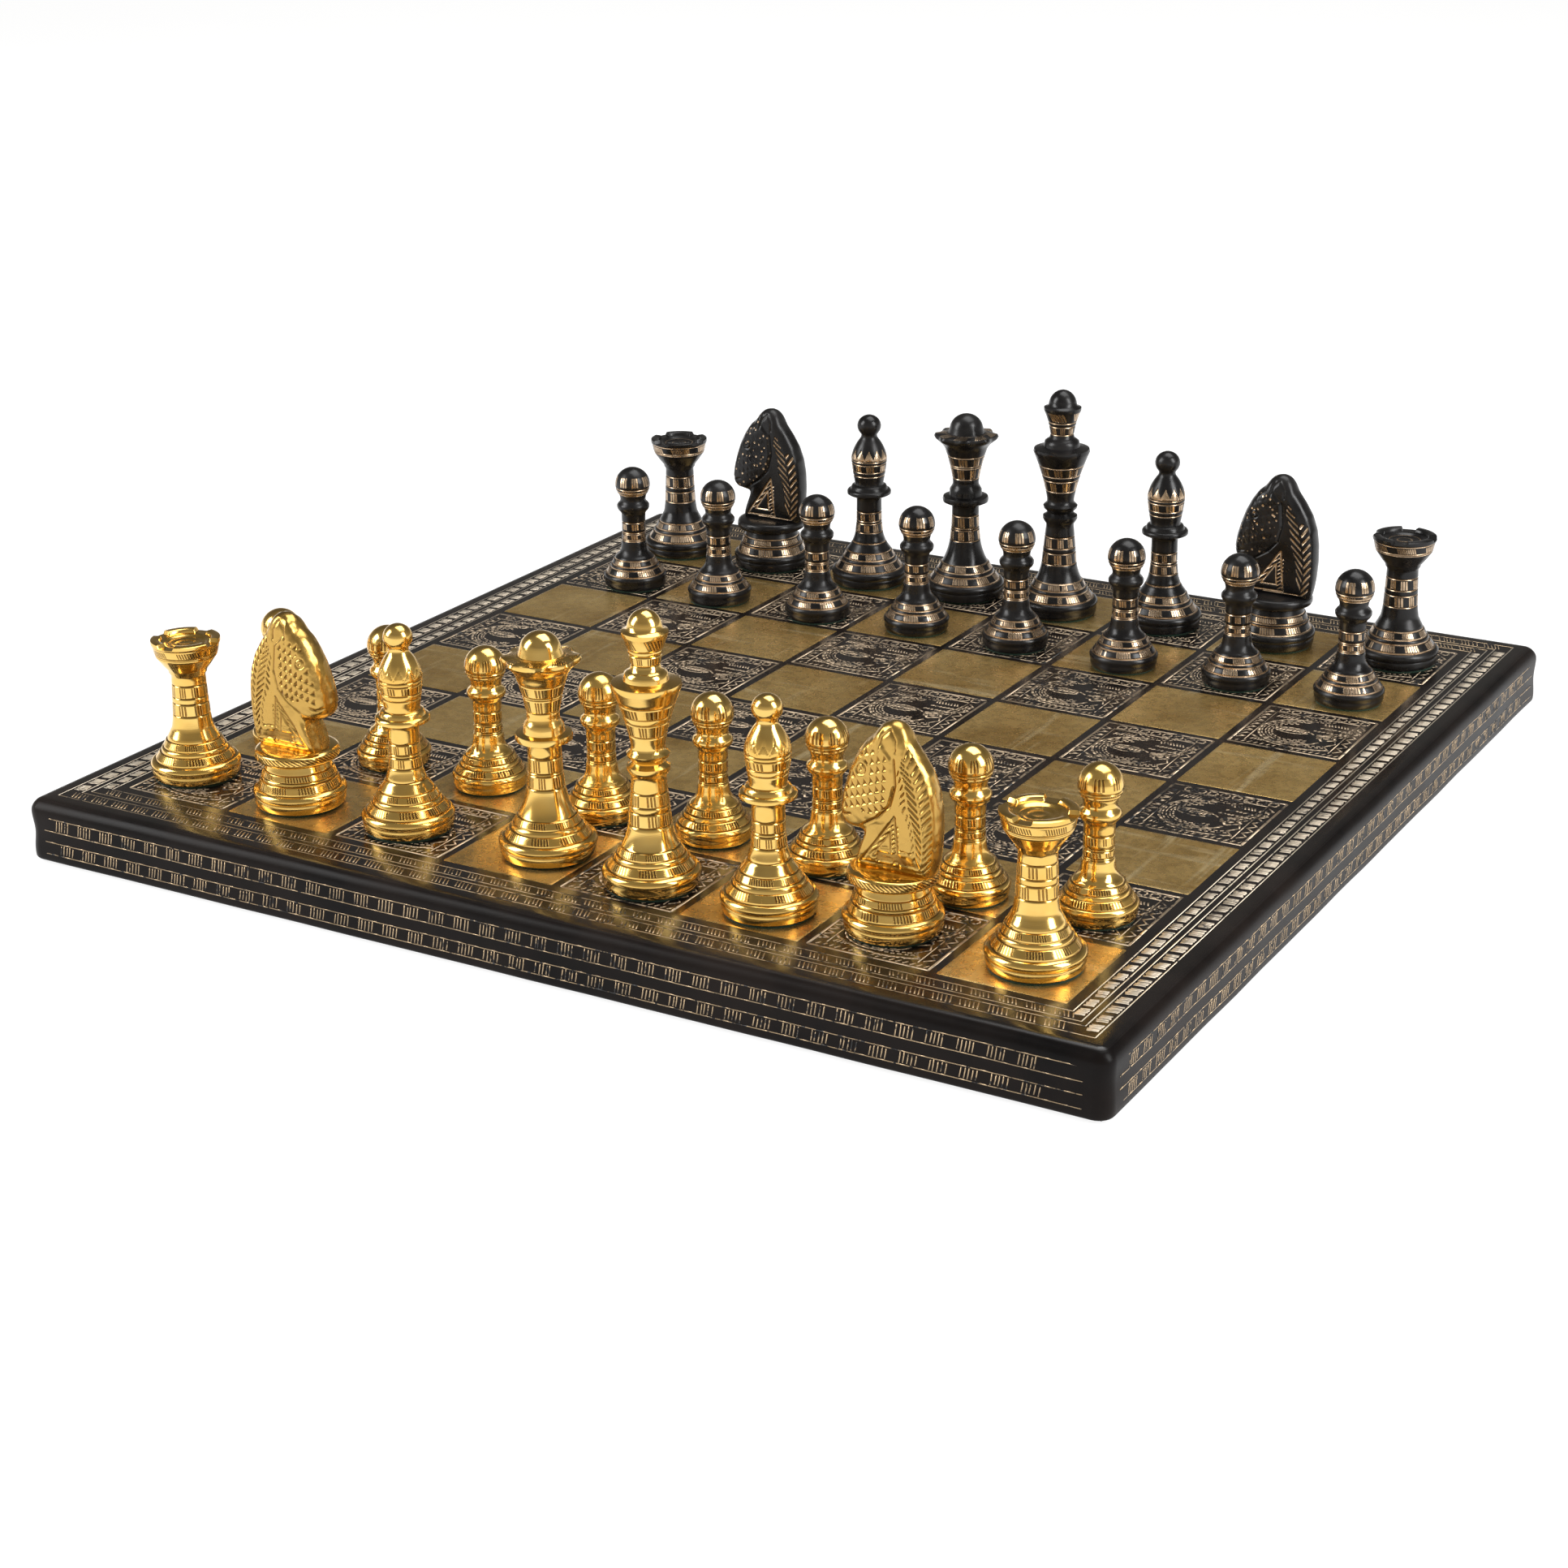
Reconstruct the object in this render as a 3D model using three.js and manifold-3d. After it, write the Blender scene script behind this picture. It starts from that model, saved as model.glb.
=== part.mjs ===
// Chess set with its board: thirty-two turned men in the starting position on a covered panel.
// Millimetres, +Z up. The origin is the centre of the board's underside. +X runs from the a-file
// to the h-file, and +Y from the gold side to the black side.
import * as THREE from "three";
import { mergeVertices } from "three/addons/utils/BufferGeometryUtils.js";
import Module from "manifold-3d";

// The board
const BOARD_SIDE = 305; // outside width and depth
const BOARD_T = 17.25; // floor to playing surface
const LINING_T = 0.75; // felt lining glued under the board
const LINING_INSET = 2.5; // lining edge to board edge
const COVER_T = 0.75; // covering on the top, on the sides and turned in underneath
const HEM_W = 14; // width of the covering turned in underneath
const PLAN_R = 4; // rounding of the upright corners
const EDGE_R = 3.5; // rounding of the top edges
const ARC_STEPS = 4; // flats in each rounding
const PITCH = 33.75; // centre to centre of two squares

// The men: sizes that the profiles below are built from
const SIDES = 12; // flats round a turned man
const PAD_T = 0.5; // felt pad under each large man
const PAD_R = 11; // radius of that pad
const KING_R = 12;
const QUEEN_R = 12.25;
const BISHOP_R = 11.75;
const ROOK_R = 11.75;
const KNIGHT_R = 12;
const PAWN_R = 9.9;
const KNIGHT_SEAT_Z = 12.25; // where the cast head sits on its turned base
const HEAD_T = 9.6; // thickness of the knight's head at the neck
const HEAD_TAPER = 0.22; // share of it lost at the ears
const HEAD_LOW = 14; // lowest and highest points of the head's side view
const HEAD_HIGH = 51.5;
const HEAD_ROUND = 1.5; // rounding of its edges
const CORONET_DIP = 0.88; // low points of the queen's wavy rim, as a share of its radius
const ROOK_TOP = 38;
const NOTCH_W = 6; // battlement gaps of the rook
const NOTCH_DEPTH = 1.2;

// Rank behind the pawns, from the a-file to the h-file
const ORDER = ["rook", "knight", "bishop", "queen", "king", "bishop", "knight", "rook"];
const FILES = "abcdefgh";

// How far each man stands from the middle of its square, in X and Y, as set out by hand
const STANDING = {
  gold: {
    back: [[-6.5, 0.5], [-3.5, -2], [-2.5, -2.5], [4, 0.5], [3, -4], [1.5, -3.5], [-2, 1], [1.5, -1.5]],
    pawns: [[0, -3], [0, -1], [-1.5, -2.5], [2, -6], [0.5, -5], [0, -7], [4.5, -7], [2, -3.5]],
  },
  black: {
    back: [[-1.5, -3.5], [-2, -2], [0.5, -3.5], [-1, -1], [-1.5, -4], [-2.5, -1], [-1, -0.5], [2.5, 0.5]],
    pawns: [[5, -7.5], [2.5, -8], [3.5, -8], [2, -5], [1, -5], [2.5, -6.5], [2.5, -5], [2, -4.5]],
  },
};

const kit = await Module();
kit.setup();

const MATERIALS = {
  gold: { color: 0xd9a441, metalness: 1, roughness: 0.2 },
  black: { color: 0x1c1b1d, metalness: 0.6, roughness: 0.35 },
  panel: { color: 0xb58a5a, metalness: 0, roughness: 0.8 },
  cover: { color: 0x242124, metalness: 0, roughness: 0.45 },
  felt: { color: 0x1d4a2c, metalness: 0, roughness: 1 },
};

// Body of revolution about Z through stations of [radius, height], from axis to axis.
function turned(stations) {
  const profile = stations.map(([radius, z]) => new THREE.Vector2(radius, z));
  return new THREE.LatheGeometry(profile, SIDES).rotateX(Math.PI / 2);
}

// Square slab with rounded upright corners and rounded top edges: an extrusion rounded at both
// ends, with its lower end cut off square.
function slab(half, low, high, planR, edgeR) {
  const outline = new THREE.Shape();
  [[1, 1], [-1, 1], [-1, -1], [1, -1]].forEach(([sx, sy], quarter) => {
    const start = (Math.PI / 2) * quarter;
    const end = start + Math.PI / 2;
    outline.absarc(sx * (half - planR), sy * (half - planR), planR, start, end);
  });
  const block = new THREE.ExtrudeGeometry(outline, {
    depth: high - low,
    curveSegments: ARC_STEPS / 2, // an arc gets two flats for each
    bevelThickness: edgeR,
    bevelSize: edgeR,
    bevelOffset: -edgeR,
    bevelSegments: ARC_STEPS,
  });
  const spare = high - low + 2 * edgeR; // more than the part of the block that lies below
  const below = new THREE.BoxGeometry(3 * half, 3 * half, spare);
  block.translate(0, 0, low - edgeR);
  below.translate(0, 0, low - spare / 2);
  return solidOf(block).subtract(solidOf(below));
}

function solidOf(geometry) {
  const bare = new THREE.BufferGeometry();
  bare.setAttribute("position", geometry.getAttribute("position"));
  bare.setIndex(geometry.index);
  const merged = mergeVertices(bare, 1e-4);
  return new kit.Manifold(
    new kit.Mesh({
      numProp: 3,
      vertProperties: merged.attributes.position.array,
      triVerts: new Uint32Array(merged.index.array),
    }),
  );
}

function geometryOf(solid) {
  const mesh = solid.getMesh();
  const geometry = new THREE.BufferGeometry();
  geometry.setAttribute("position", new THREE.Float32BufferAttribute(mesh.vertProperties, 3));
  geometry.setIndex(Array.from(mesh.triVerts));
  return geometry;
}

function meshOf(name, geometry, look) {
  const smooth = geometry.toNonIndexed();
  smooth.computeVertexNormals();
  const mesh = new THREE.Mesh(smooth, new THREE.MeshStandardMaterial({ ...MATERIALS[look] }));
  mesh.name = name;
  return mesh;
}

// The panel, with a step round its underside that the hem of the covering fills.
function coreSolid() {
  const half = BOARD_SIDE / 2 - COVER_T;
  const low = LINING_T + COVER_T;
  const panel = slab(half, low, BOARD_T - COVER_T, PLAN_R - COVER_T, EDGE_R - COVER_T);
  const middle = BOARD_SIDE - 2 * HEM_W;
  const raised = solidOf(new THREE.BoxGeometry(middle, middle, 2 * COVER_T).translate(0, 0, low));
  return panel.add(raised);
}

// The covering: one skin over the top and the sides, turned in underneath and open there.
function coverSolid() {
  const outside = slab(BOARD_SIDE / 2, LINING_T, BOARD_T, PLAN_R, EDGE_R);
  return outside.subtract(coreSolid());
}

function lining() {
  const side = BOARD_SIDE - 2 * LINING_INSET;
  return new THREE.BoxGeometry(side, side, LINING_T).translate(0, 0, LINING_T / 2);
}

// Foot, bulge and two sloping bands that every turned man starts with.
function bellBase(radius, seat) {
  return [
    [0, seat],
    [0.94 * radius, seat],
    [0.96 * radius, 2.6],
    [radius, 3.4],
    [0.97 * radius, 4.8],
    [0.76 * radius, 7.8],
    [0.6 * radius, 10.9],
  ];
}

function king() {
  return turned([
    ...bellBase(KING_R, PAD_T),
    [5.4, 15.7],
    [4.1, 28.2], // stem
    [5.3, 29.2],
    [5.3, 30.9],
    [3.9, 31.7],
    [5.2, 32.6],
    [5.2, 34.2],
    [4, 35.6], // two rings
    [6.05, 43.9],
    [8.45, 50.7],
    [8.2, 51.5], // cup and shoulder
    [5.3, 51.9],
    [5.2, 53.7], // step
    [3.45, 55],
    [5.75, 63.4],
    [4.25, 64.4], // small cup
    [3.6, 67],
    [0, 69.25],
  ]);
}

// Draws every second corner of the rings between two heights in towards the axis.
function waved(geometry, low, high, share) {
  const place = geometry.getAttribute("position");
  for (let k = 0; k < place.count; k += 1) {
    const turn = Math.round((Math.atan2(place.getY(k), place.getX(k)) * SIDES) / (2 * Math.PI));
    if (place.getZ(k) > low && place.getZ(k) < high && turn % 2) {
      place.setXY(k, share * place.getX(k), share * place.getY(k));
    }
  }
  return geometry;
}

function queen() {
  const figure = turned([
    ...bellBase(QUEEN_R, PAD_T),
    [5.1, 15.3],
    [4.1, 29.4], // stem
    [7.05, 30],
    [7.05, 31.6], // collar
    [4.7, 33.2],
    [4.7, 34.4],
    [3.75, 36.2], // step
    [4.8, 40.2],
    [6.5, 46.6],
    [9.6, 49.6],
    [9.9, 50.6], // cup and coronet
    [5.4, 51.5],
    [4.7, 54.6],
    [0, 57.25],
  ]);
  return waved(figure, 49, 51, CORONET_DIP);
}

function bishop() {
  return turned([
    ...bellBase(BISHOP_R, PAD_T),
    [4.3, 16.4],
    [3.9, 28], // stem
    [6.85, 28.8],
    [6.85, 30.2], // collar
    [5.6, 30.4],
    [5.6, 31.5],
    [4.3, 32], // step
    [5.5, 39.6],
    [3.9, 44.5],
    [2.4, 46.9], // egg
    [3.7, 50],
    [2.5, 52.8],
    [0, 53.75], // ball
  ]);
}

// The recess in the rook's top is turned, and two crossing cuts leave its battlements.
function rook() {
  const tower = turned([
    ...bellBase(ROOK_R, PAD_T),
    [5.3, 15],
    [4.4, 28], // stem
    [5, 29.2],
    [7.7, 33.2],
    [8.95, 36.6],
    [8.95, ROOK_TOP],
    [6.6, ROOK_TOP], // cup and rim
    [6.3, ROOK_TOP - 2],
    [0, ROOK_TOP - 2],
  ]);
  const reach = 4 * ROOK_R;
  const cuts = [
    new THREE.BoxGeometry(NOTCH_W, reach, 2 * NOTCH_DEPTH),
    new THREE.BoxGeometry(reach, NOTCH_W, 2 * NOTCH_DEPTH),
  ];
  let solid = solidOf(tower);
  cuts.forEach((box) => {
    solid = solid.subtract(solidOf(box.translate(0, 0, ROOK_TOP)));
  });
  return geometryOf(solid);
}

function knightBase() {
  return turned([
    [0, PAD_T],
    [0.94 * KNIGHT_R, PAD_T],
    [0.96 * KNIGHT_R, 2.6],
    [KNIGHT_R, 3.4],
    [0.97 * KNIGHT_R, 4.8],
    [0.82 * KNIGHT_R, 7.8],
    [0.74 * KNIGHT_R, 10.2],
    [8.2, 10.9],
    [8.2, KNIGHT_SEAT_Z],
    [0, KNIGHT_SEAT_Z],
  ]);
}

// Side view of the head, as [forward, height], anticlockwise from the chest.
const HEAD_OUTLINE = [
  [9, HEAD_LOW], [7.2, 19.5], [6, 22.8], [6.4, 24.1], [8.5, 24.6], [11, 25.3],
  [12.6, 27.2], [12.8, 30], [11.6, 35], [9.6, 41], [6.2, 46.3], [2.6, 49.6],
  [-0.6, HEAD_HIGH], [-3.2, 50.6], [-4.8, 47.4], [-7.8, 43.2], [-10.8, 38],
  [-12.2, 31], [-12.2, 24], [-11.4, 18], [-10.6, HEAD_LOW],
];

// Cast head: a thick plate in the side view's shape with rounded edges, thinner towards the top,
// standing on a round plinth. facing is 1 for +X and -1 for -X.
function knightHead(facing) {
  const side = new THREE.Shape(HEAD_OUTLINE.map(([forward, z]) => new THREE.Vector2(forward, z)));
  const plate = new THREE.ExtrudeGeometry(side, {
    depth: HEAD_T - 2 * HEAD_ROUND,
    bevelThickness: HEAD_ROUND,
    bevelSize: HEAD_ROUND,
    bevelOffset: -HEAD_ROUND,
    bevelSegments: 2,
  });
  plate.translate(0, 0, HEAD_ROUND - HEAD_T / 2).rotateX(Math.PI / 2);
  const place = plate.getAttribute("position");
  for (let k = 0; k < place.count; k += 1) {
    const rise = (place.getZ(k) - HEAD_LOW) / (HEAD_HIGH - HEAD_LOW);
    place.setY(k, place.getY(k) * (1 - HEAD_TAPER * rise));
  }
  const plinth = turned([
    [0, KNIGHT_SEAT_Z],
    [9.4, KNIGHT_SEAT_Z],
    [10.8, 13.2],
    [10.6, 15.4],
    [0, 16.25],
  ]);
  const head = geometryOf(solidOf(plinth).add(solidOf(plate)));
  return facing > 0 ? head : head.rotateZ(Math.PI);
}

function pawn() {
  return turned([
    [0, 0],
    [0.94 * PAWN_R, 0],
    [0.96 * PAWN_R, 2.3],
    [PAWN_R, 3.1],
    [0.96 * PAWN_R, 4.4],
    [0.66 * PAWN_R, 9.2],
    [3.8, 12.4],
    [3.7, 24], // stem
    [5, 24.9],
    [5, 26.3],
    [3.9, 28.2], // collar
    [5.2, 30.6],
    [5.4, 33.2],
    [4, 36.4],
    [0, 38.1], // ball head
  ]);
}

function pad() {
  return turned([
    [0, 0],
    [PAD_R, 0],
    [PAD_R, PAD_T],
    [0, PAD_T],
  ]);
}

const SHAPES = { king, queen, bishop, rook, pawn };

// One man on the board, with its pad; a knight is a turned base with a cast head.
function man(side, kind, file, rank, [dx, dy]) {
  const name = `${side}_${kind}_${FILES[file]}`;
  const group = new THREE.Group();
  group.name = `${name}_group`;
  group.position.set((file - 3.5) * PITCH + dx, (rank - 3.5) * PITCH + dy, BOARD_T);
  if (kind === "knight") {
    const facing = side === "gold" && file === 1 ? 1 : -1;
    group.add(meshOf(`${name}_base`, knightBase(), side));
    group.add(meshOf(`${name}_head`, knightHead(facing), side));
  } else {
    group.add(meshOf(name, SHAPES[kind](), side));
  }
  if (kind !== "pawn") {
    group.add(meshOf(`${name}_pad`, pad(), "felt"));
  }
  return group;
}

function chessSet() {
  const set = new THREE.Group();
  set.name = "chess_set";
  set.add(meshOf("board_core", geometryOf(coreSolid()), "panel"));
  set.add(meshOf("board_cover", geometryOf(coverSolid()), "cover"));
  set.add(meshOf("base_lining", lining(), "felt"));
  Object.entries(STANDING).forEach(([side, rows]) => {
    const backRank = side === "gold" ? 0 : 7;
    const pawnRank = side === "gold" ? 1 : 6;
    ORDER.forEach((kind, file) => {
      set.add(man(side, kind, file, backRank, rows.back[file]));
      set.add(man(side, "pawn", file, pawnRank, rows.pawns[file]));
    });
  });
  return set;
}

export default chessSet();
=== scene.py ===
# %% [markdown]
# # A brass chess set on its covered board
# The frame is the imported CAD model: every man and the board are already where they stand, in
# metres. This file gives each of them the surface that the real one has. It starts by loading
# the frame.

# %% Load the frame
import math

import bpy
import numpy as np
from mathutils import Matrix
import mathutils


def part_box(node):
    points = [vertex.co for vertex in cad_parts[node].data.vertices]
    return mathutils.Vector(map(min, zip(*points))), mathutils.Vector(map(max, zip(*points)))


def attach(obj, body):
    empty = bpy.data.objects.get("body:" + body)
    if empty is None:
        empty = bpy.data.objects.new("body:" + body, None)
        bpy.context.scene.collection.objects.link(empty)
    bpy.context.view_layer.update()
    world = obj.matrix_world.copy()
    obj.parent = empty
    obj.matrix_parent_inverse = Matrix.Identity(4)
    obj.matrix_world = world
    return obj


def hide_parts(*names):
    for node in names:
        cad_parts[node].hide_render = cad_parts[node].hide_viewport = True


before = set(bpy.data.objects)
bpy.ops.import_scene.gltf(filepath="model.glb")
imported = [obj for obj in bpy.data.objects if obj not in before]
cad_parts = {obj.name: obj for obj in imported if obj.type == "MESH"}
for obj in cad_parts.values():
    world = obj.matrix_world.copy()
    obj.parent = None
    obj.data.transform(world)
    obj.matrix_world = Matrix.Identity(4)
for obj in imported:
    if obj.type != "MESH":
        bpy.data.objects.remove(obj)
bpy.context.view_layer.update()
MM = 0.001

# %% [markdown]
# ## Places
# The board's cover node gives the playing surface, and each man's node gives the spot that he
# stands on. Squares are worked out from the board's width alone.

# %% Board and men from the frame
cover_low, cover_high = (np.array(corner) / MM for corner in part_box("board_cover"))
BOARD_HALF = float(cover_high[0])  # millimetres, as are all sizes below until a mesh is made
TOP_Z = float(cover_high[2])
UNDER_Z = float(cover_low[2])
PITCH = 2 * BOARD_HALF / 9.037  # centre to centre of two squares
FILES = "abcdefgh"


def spot(node):
    """The middle of a node's box in plan, with the playing surface as its height."""
    low, high = (np.array(corner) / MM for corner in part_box(node))
    return np.array([(low[0] + high[0]) / 2, (low[1] + high[1]) / 2, TOP_Z])


print("board", 2 * BOARD_HALF, "mm wide, surface at", TOP_Z, "squares", round(PITCH, 2))

# %% [markdown]
# ## Camera
# The set is seen from a seat at the board's gold side, a little to the right and above: about
# 30 degrees round and 21 degrees up, from 0.76 m. A longish lens keeps the far men large. The
# eye is tilted by less than a degree, as a hand-levelled tripod is. Lamps are aimed in the
# same way as the camera, so one function serves both.

# %% Camera
EYE = np.array([371.9, -660.4, 275.8 + TOP_Z]) * MM
TARGET = np.array([14.4, -50.0, TOP_Z]) * MM
ROLL = math.radians(-0.656)
LENS, SENSOR = 67.3, 36


def looking(place, target, roll=0.0):
    """The matrix of a camera or lamp that stands at place and faces the target."""
    ahead = np.array(target) - place
    ahead = ahead / np.linalg.norm(ahead)
    level = np.cross(ahead, [0, 0, 1])
    level /= np.linalg.norm(level)
    rise = np.cross(level, ahead)
    right = math.cos(roll) * level + math.sin(roll) * rise
    up = math.cos(roll) * rise - math.sin(roll) * level
    seat = np.eye(4)
    seat[:3] = np.stack([right, up, -ahead, place], -1)
    return Matrix(seat.tolist())


def put(name, data):
    """A new object in the scene, from a mesh, a camera or a lamp."""
    made = bpy.data.objects.new(name, data)
    bpy.context.scene.collection.objects.link(made)
    return made


camera_data = bpy.data.cameras.new("camera")
camera_data.lens = LENS
camera_data.sensor_width = SENSOR
camera_data.clip_start = 0.01
camera = put("camera", camera_data)
camera.matrix_world = looking(EYE, TARGET, ROLL)
bpy.context.scene.camera = camera
print("camera", round(float(np.linalg.norm(TARGET - EYE)), 3), "m from the board")

# %% [markdown]
# ## Nodes
# The room and all finishes are made of nodes, and a few helpers keep them short. Wherever a
# value is wanted, it may be a number, a colour, or a pair of a node and its output, which is
# then linked.

# %% Node helpers


def wire(tree, socket, value):
    """Links a (node, output) pair to an input, or sets the input to a plain value."""
    if isinstance(value, tuple) and isinstance(value[0], bpy.types.Node):
        tree.links.new(value[0].outputs[value[1]], socket)
    else:
        socket.default_value = (*value, 1) if socket.type == "RGBA" else value


def fill(tree, made, **values):
    """Fills a node's settings and inputs by name, with _ for a space."""
    for name, value in values.items():
        if hasattr(made, name):
            setattr(made, name, value)
        else:
            wire(tree, made.inputs[name.replace("_", " ")], value)


def add(tree, kind, **values):
    """A new node in a tree, with its settings and inputs filled."""
    made = tree.nodes.new("ShaderNode" + kind)
    fill(tree, made, **values)
    return made


def maths(tree, operation, *values):
    """A Math node on the values, as a (node, output) pair."""
    made = add(tree, "Math", operation=operation)
    for socket, value in zip(made.inputs, values):
        wire(tree, socket, value)
    return made, "Value"


def ramp(tree, value, start, end, low=0, high=1):
    """Stretches a value so that start becomes low and end becomes high, clamped."""
    made = add(tree, "MapRange", Value=value, From_Min=start, From_Max=end, To_Min=low, To_Max=high)
    return made, "Result"


def blend(tree, low, high, share):
    """The colour low where the share is 0, high where it is 1, and a mix between."""
    made = add(tree, "Mix", data_type="RGBA")
    for entry, value in ((0, share), (6, low), (7, high)):
        wire(tree, made.inputs[entry], value)
    return made, 2


print("node helpers ready")

# %% [markdown]
# ## Shared effects
# Several finishes need the same things: slow mottling where hands and polish have been, fine
# straight scratches, and leather grain. Each is a node group with its own inputs, made once
# and placed in a material with its own values. The material brings the coordinates. A fourth
# one draws the graver's tally strokes. It counts beats round a man, cuts one stroke to the
# beat, and leaves out the last two fifths of each group.

# %% Effect groups


def effect(name, draw, **inputs):
    """A group with the inputs named, numbers or a vector, and an Amount, which draw makes."""
    group = bpy.data.node_groups.new(name, "ShaderNodeTree")
    for label, value in inputs.items():
        kind = "NodeSocketVector" if value is None else "NodeSocketFloat"
        made = group.interface.new_socket(label, in_out="INPUT", socket_type=kind)
        if value is not None:
            made.default_value = value
    group.interface.new_socket("Amount", in_out="OUTPUT", socket_type="NodeSocketFloat")
    entry = group.nodes.new("NodeGroupInput")
    leave = group.nodes.new("NodeGroupOutput")
    wire(group, leave.inputs["Amount"], draw(group, **{label: (entry, label) for label in inputs}))
    return group


def mottling(tree, Vector, Scale, Detail):
    """Clouds of noise, stretched to run from 0 to 1."""
    noise = add(tree, "TexNoise", Vector=Vector, Scale=Scale, Detail=Detail, Roughness=0.6)
    return ramp(tree, (noise, "Fac"), 0.32, 0.68)


def scratches(tree, Vector, Scale, Stretch):
    """The peaks of noise that is squeezed or stretched along X."""
    squeeze = add(tree, "CombineXYZ", X=Stretch, Y=1, Z=1)
    place = add(tree, "Mapping", Vector=Vector)
    wire(tree, place.inputs["Scale"], (squeeze, "Vector"))
    noise = add(tree, "TexNoise", Vector=(place, "Vector"), Scale=Scale, Detail=3, Roughness=0.7)
    return ramp(tree, (noise, "Fac"), 0.60, 0.70)


def leather_grain(tree, Vector, Scale):
    """Cells with sunken edges, and half as much noise."""
    cells = add(tree, "TexVoronoi", feature="DISTANCE_TO_EDGE", Vector=Vector, Scale=Scale)
    noise = add(tree, "TexNoise", Vector=Vector, Scale=Scale, Detail=3)
    return maths(tree, "MULTIPLY_ADD", (noise, "Fac"), 0.5, ramp(tree, (cells, "Distance"), 0, 0.18))


def tally_strokes(tree, Beat, Group, Band):
    """A V across each beat: 1 - |2 fract(beat) - 1|, on the first beats of a group."""
    saw = maths(tree, "MULTIPLY_ADD", maths(tree, "FRACT", Beat), 2, -1)
    groove = maths(tree, "SUBTRACT", 1, maths(tree, "ABSOLUTE", saw))
    share = maths(tree, "FRACT", maths(tree, "DIVIDE", maths(tree, "FLOOR", Beat), Group))
    kept = maths(tree, "LESS_THAN", share, 0.59)
    return maths(tree, "MULTIPLY", maths(tree, "MULTIPLY", groove, kept), Band)


mottle = effect("mottling", mottling, Vector=None, Scale=60, Detail=4)
scratch = effect("scratches", scratches, Vector=None, Scale=40, Stretch=14)
grain = effect("leather_grain", leather_grain, Vector=None, Scale=900)
tally = effect("tally_strokes", tally_strokes, Beat=0, Group=5, Band=0)
print("effects:", [group.name for group in bpy.data.node_groups])

# %% [markdown]
# ## Light
# Polished metal shows what stands round it, so the room is built before the metal. Two tall
# soft boxes left and right of the eye give each ball its pair of bright patches, a wide one
# overhead lights the board, and the room between them stays grey, which leaves the dark patch
# that makes gold look like gold. The wall behind the eye is brighter than the far one, the
# ceiling is a warm grey, and a white band runs round the horizon, where the sheet under the
# board would curve up.

# %% Room and soft boxes
ROOM = [(0.0, 1.0), (0.28, 0.85), (0.55, 0.46), (1.0, 0.62)]  # sine of height, share of light
WARM = (1.0, 0.96, 0.89)  # tint of the room's light
BEHIND_EYE = (0.50, -0.86, 0)
BACK_LIGHT, FRONT_LIGHT = 0.17, 0.60  # the far wall and the wall behind the eye
HORIZON = (0.10, 0.02)  # the white band fades out between these sines of height

bpy.context.scene.view_settings.view_transform = "Standard"
world = bpy.data.worlds.new("studio")
bpy.context.scene.world = world
world.use_nodes = True
sky = world.node_tree
view = (add(sky, "TexCoord"), "Generated")
height = (add(sky, "SeparateXYZ", Vector=view), "Z")
room = add(sky, "ValToRGB", Fac=height)
stops = room.color_ramp.elements
for position, _ in ROOM[1:-1]:
    stops.new(position)
for stop, (_, grey) in zip(stops, ROOM):
    stop.color = (*(grey * part for part in WARM), 1)
facing = add(sky, "VectorMath", operation="DOT_PRODUCT", Vector=view)
facing.inputs[1].default_value = BEHIND_EYE
walls = ramp(sky, (facing, "Value"), -1, 1, BACK_LIGHT, FRONT_LIGHT)
horizon = ramp(sky, height, *HORIZON)
fill(
    sky, sky.nodes["Background"],
    Color=blend(sky, (room, "Color"), (1, 1, 1), horizon),
    Strength=maths(sky, "MAXIMUM", horizon, walls),
)

for name, place, box, power in (
    ("left_box", (-1.05, -0.75, 0.75), (0.6, 0.9), 15),
    ("right_box", (1.20, -0.05, 0.75), (0.5, 0.9), 15),
    ("top_box", (0.1, 0.35, 1.35), (1.1, 0.9), 13),
):
    lamp = bpy.data.lights.new(name, "AREA")
    lamp.shape = "RECTANGLE"
    lamp.size, lamp.size_y = box
    lamp.energy = power
    put(name, lamp).matrix_world = looking(place, (0, 0, 0.03))
print(len(bpy.data.lights), "lamps")

# %% [markdown]
# ## Helpers for surfaces
# Every piece is one of three things: a grid of rings round an axis, a swarm of small bars, or
# a profile carried round a square. All of them are numpy arrays of points and faces, so one
# helper turns arrays into a mesh. It also stores a number per point where a finish needs one,
# such as how deep the graver went there. Grids and swarms each have a helper that joins many
# of them into one piece.

# %% Mesh from arrays
made_faces = {}


def piece(name, points, quads, triangles, finish, body, stands_for=(), marks=None, beats=None):
    """A mesh object from points in millimetres and index arrays, which rides on body. marks
    holds numbers for each point, beats one number for each corner of each face."""
    mesh = bpy.data.meshes.new(name)
    mesh.vertices.add(len(points))
    mesh.vertices.foreach_set("co", (np.asarray(points) * MM).astype(np.float32).ravel())
    corners = np.concatenate([np.ravel(quads), np.ravel(triangles)]).astype(np.int32)
    four, three = len(quads), len(triangles)
    starts = np.concatenate([np.arange(four) * 4, 4 * four + np.arange(three) * 3])
    mesh.loops.add(len(corners))
    mesh.loops.foreach_set("vertex_index", corners)
    mesh.polygons.add(four + three)
    mesh.polygons.foreach_set("loop_start", starts.astype(np.int32))
    mesh.update(calc_edges=True)
    layers = [(label, "POINT", values) for label, values in (marks or {}).items()]
    if beats is not None:
        layers.append(("beat", "CORNER", beats))
    for label, domain, values in layers:
        layer = mesh.attributes.new(label, "FLOAT", domain)
        layer.data.foreach_set("value", np.asarray(values, np.float32).ravel())
    mesh.materials.append(finish)
    made = put(name, mesh)
    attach(made, body)
    if stands_for:
        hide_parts(*stands_for)
    made_faces[name] = 2 * four + three
    return made


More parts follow.
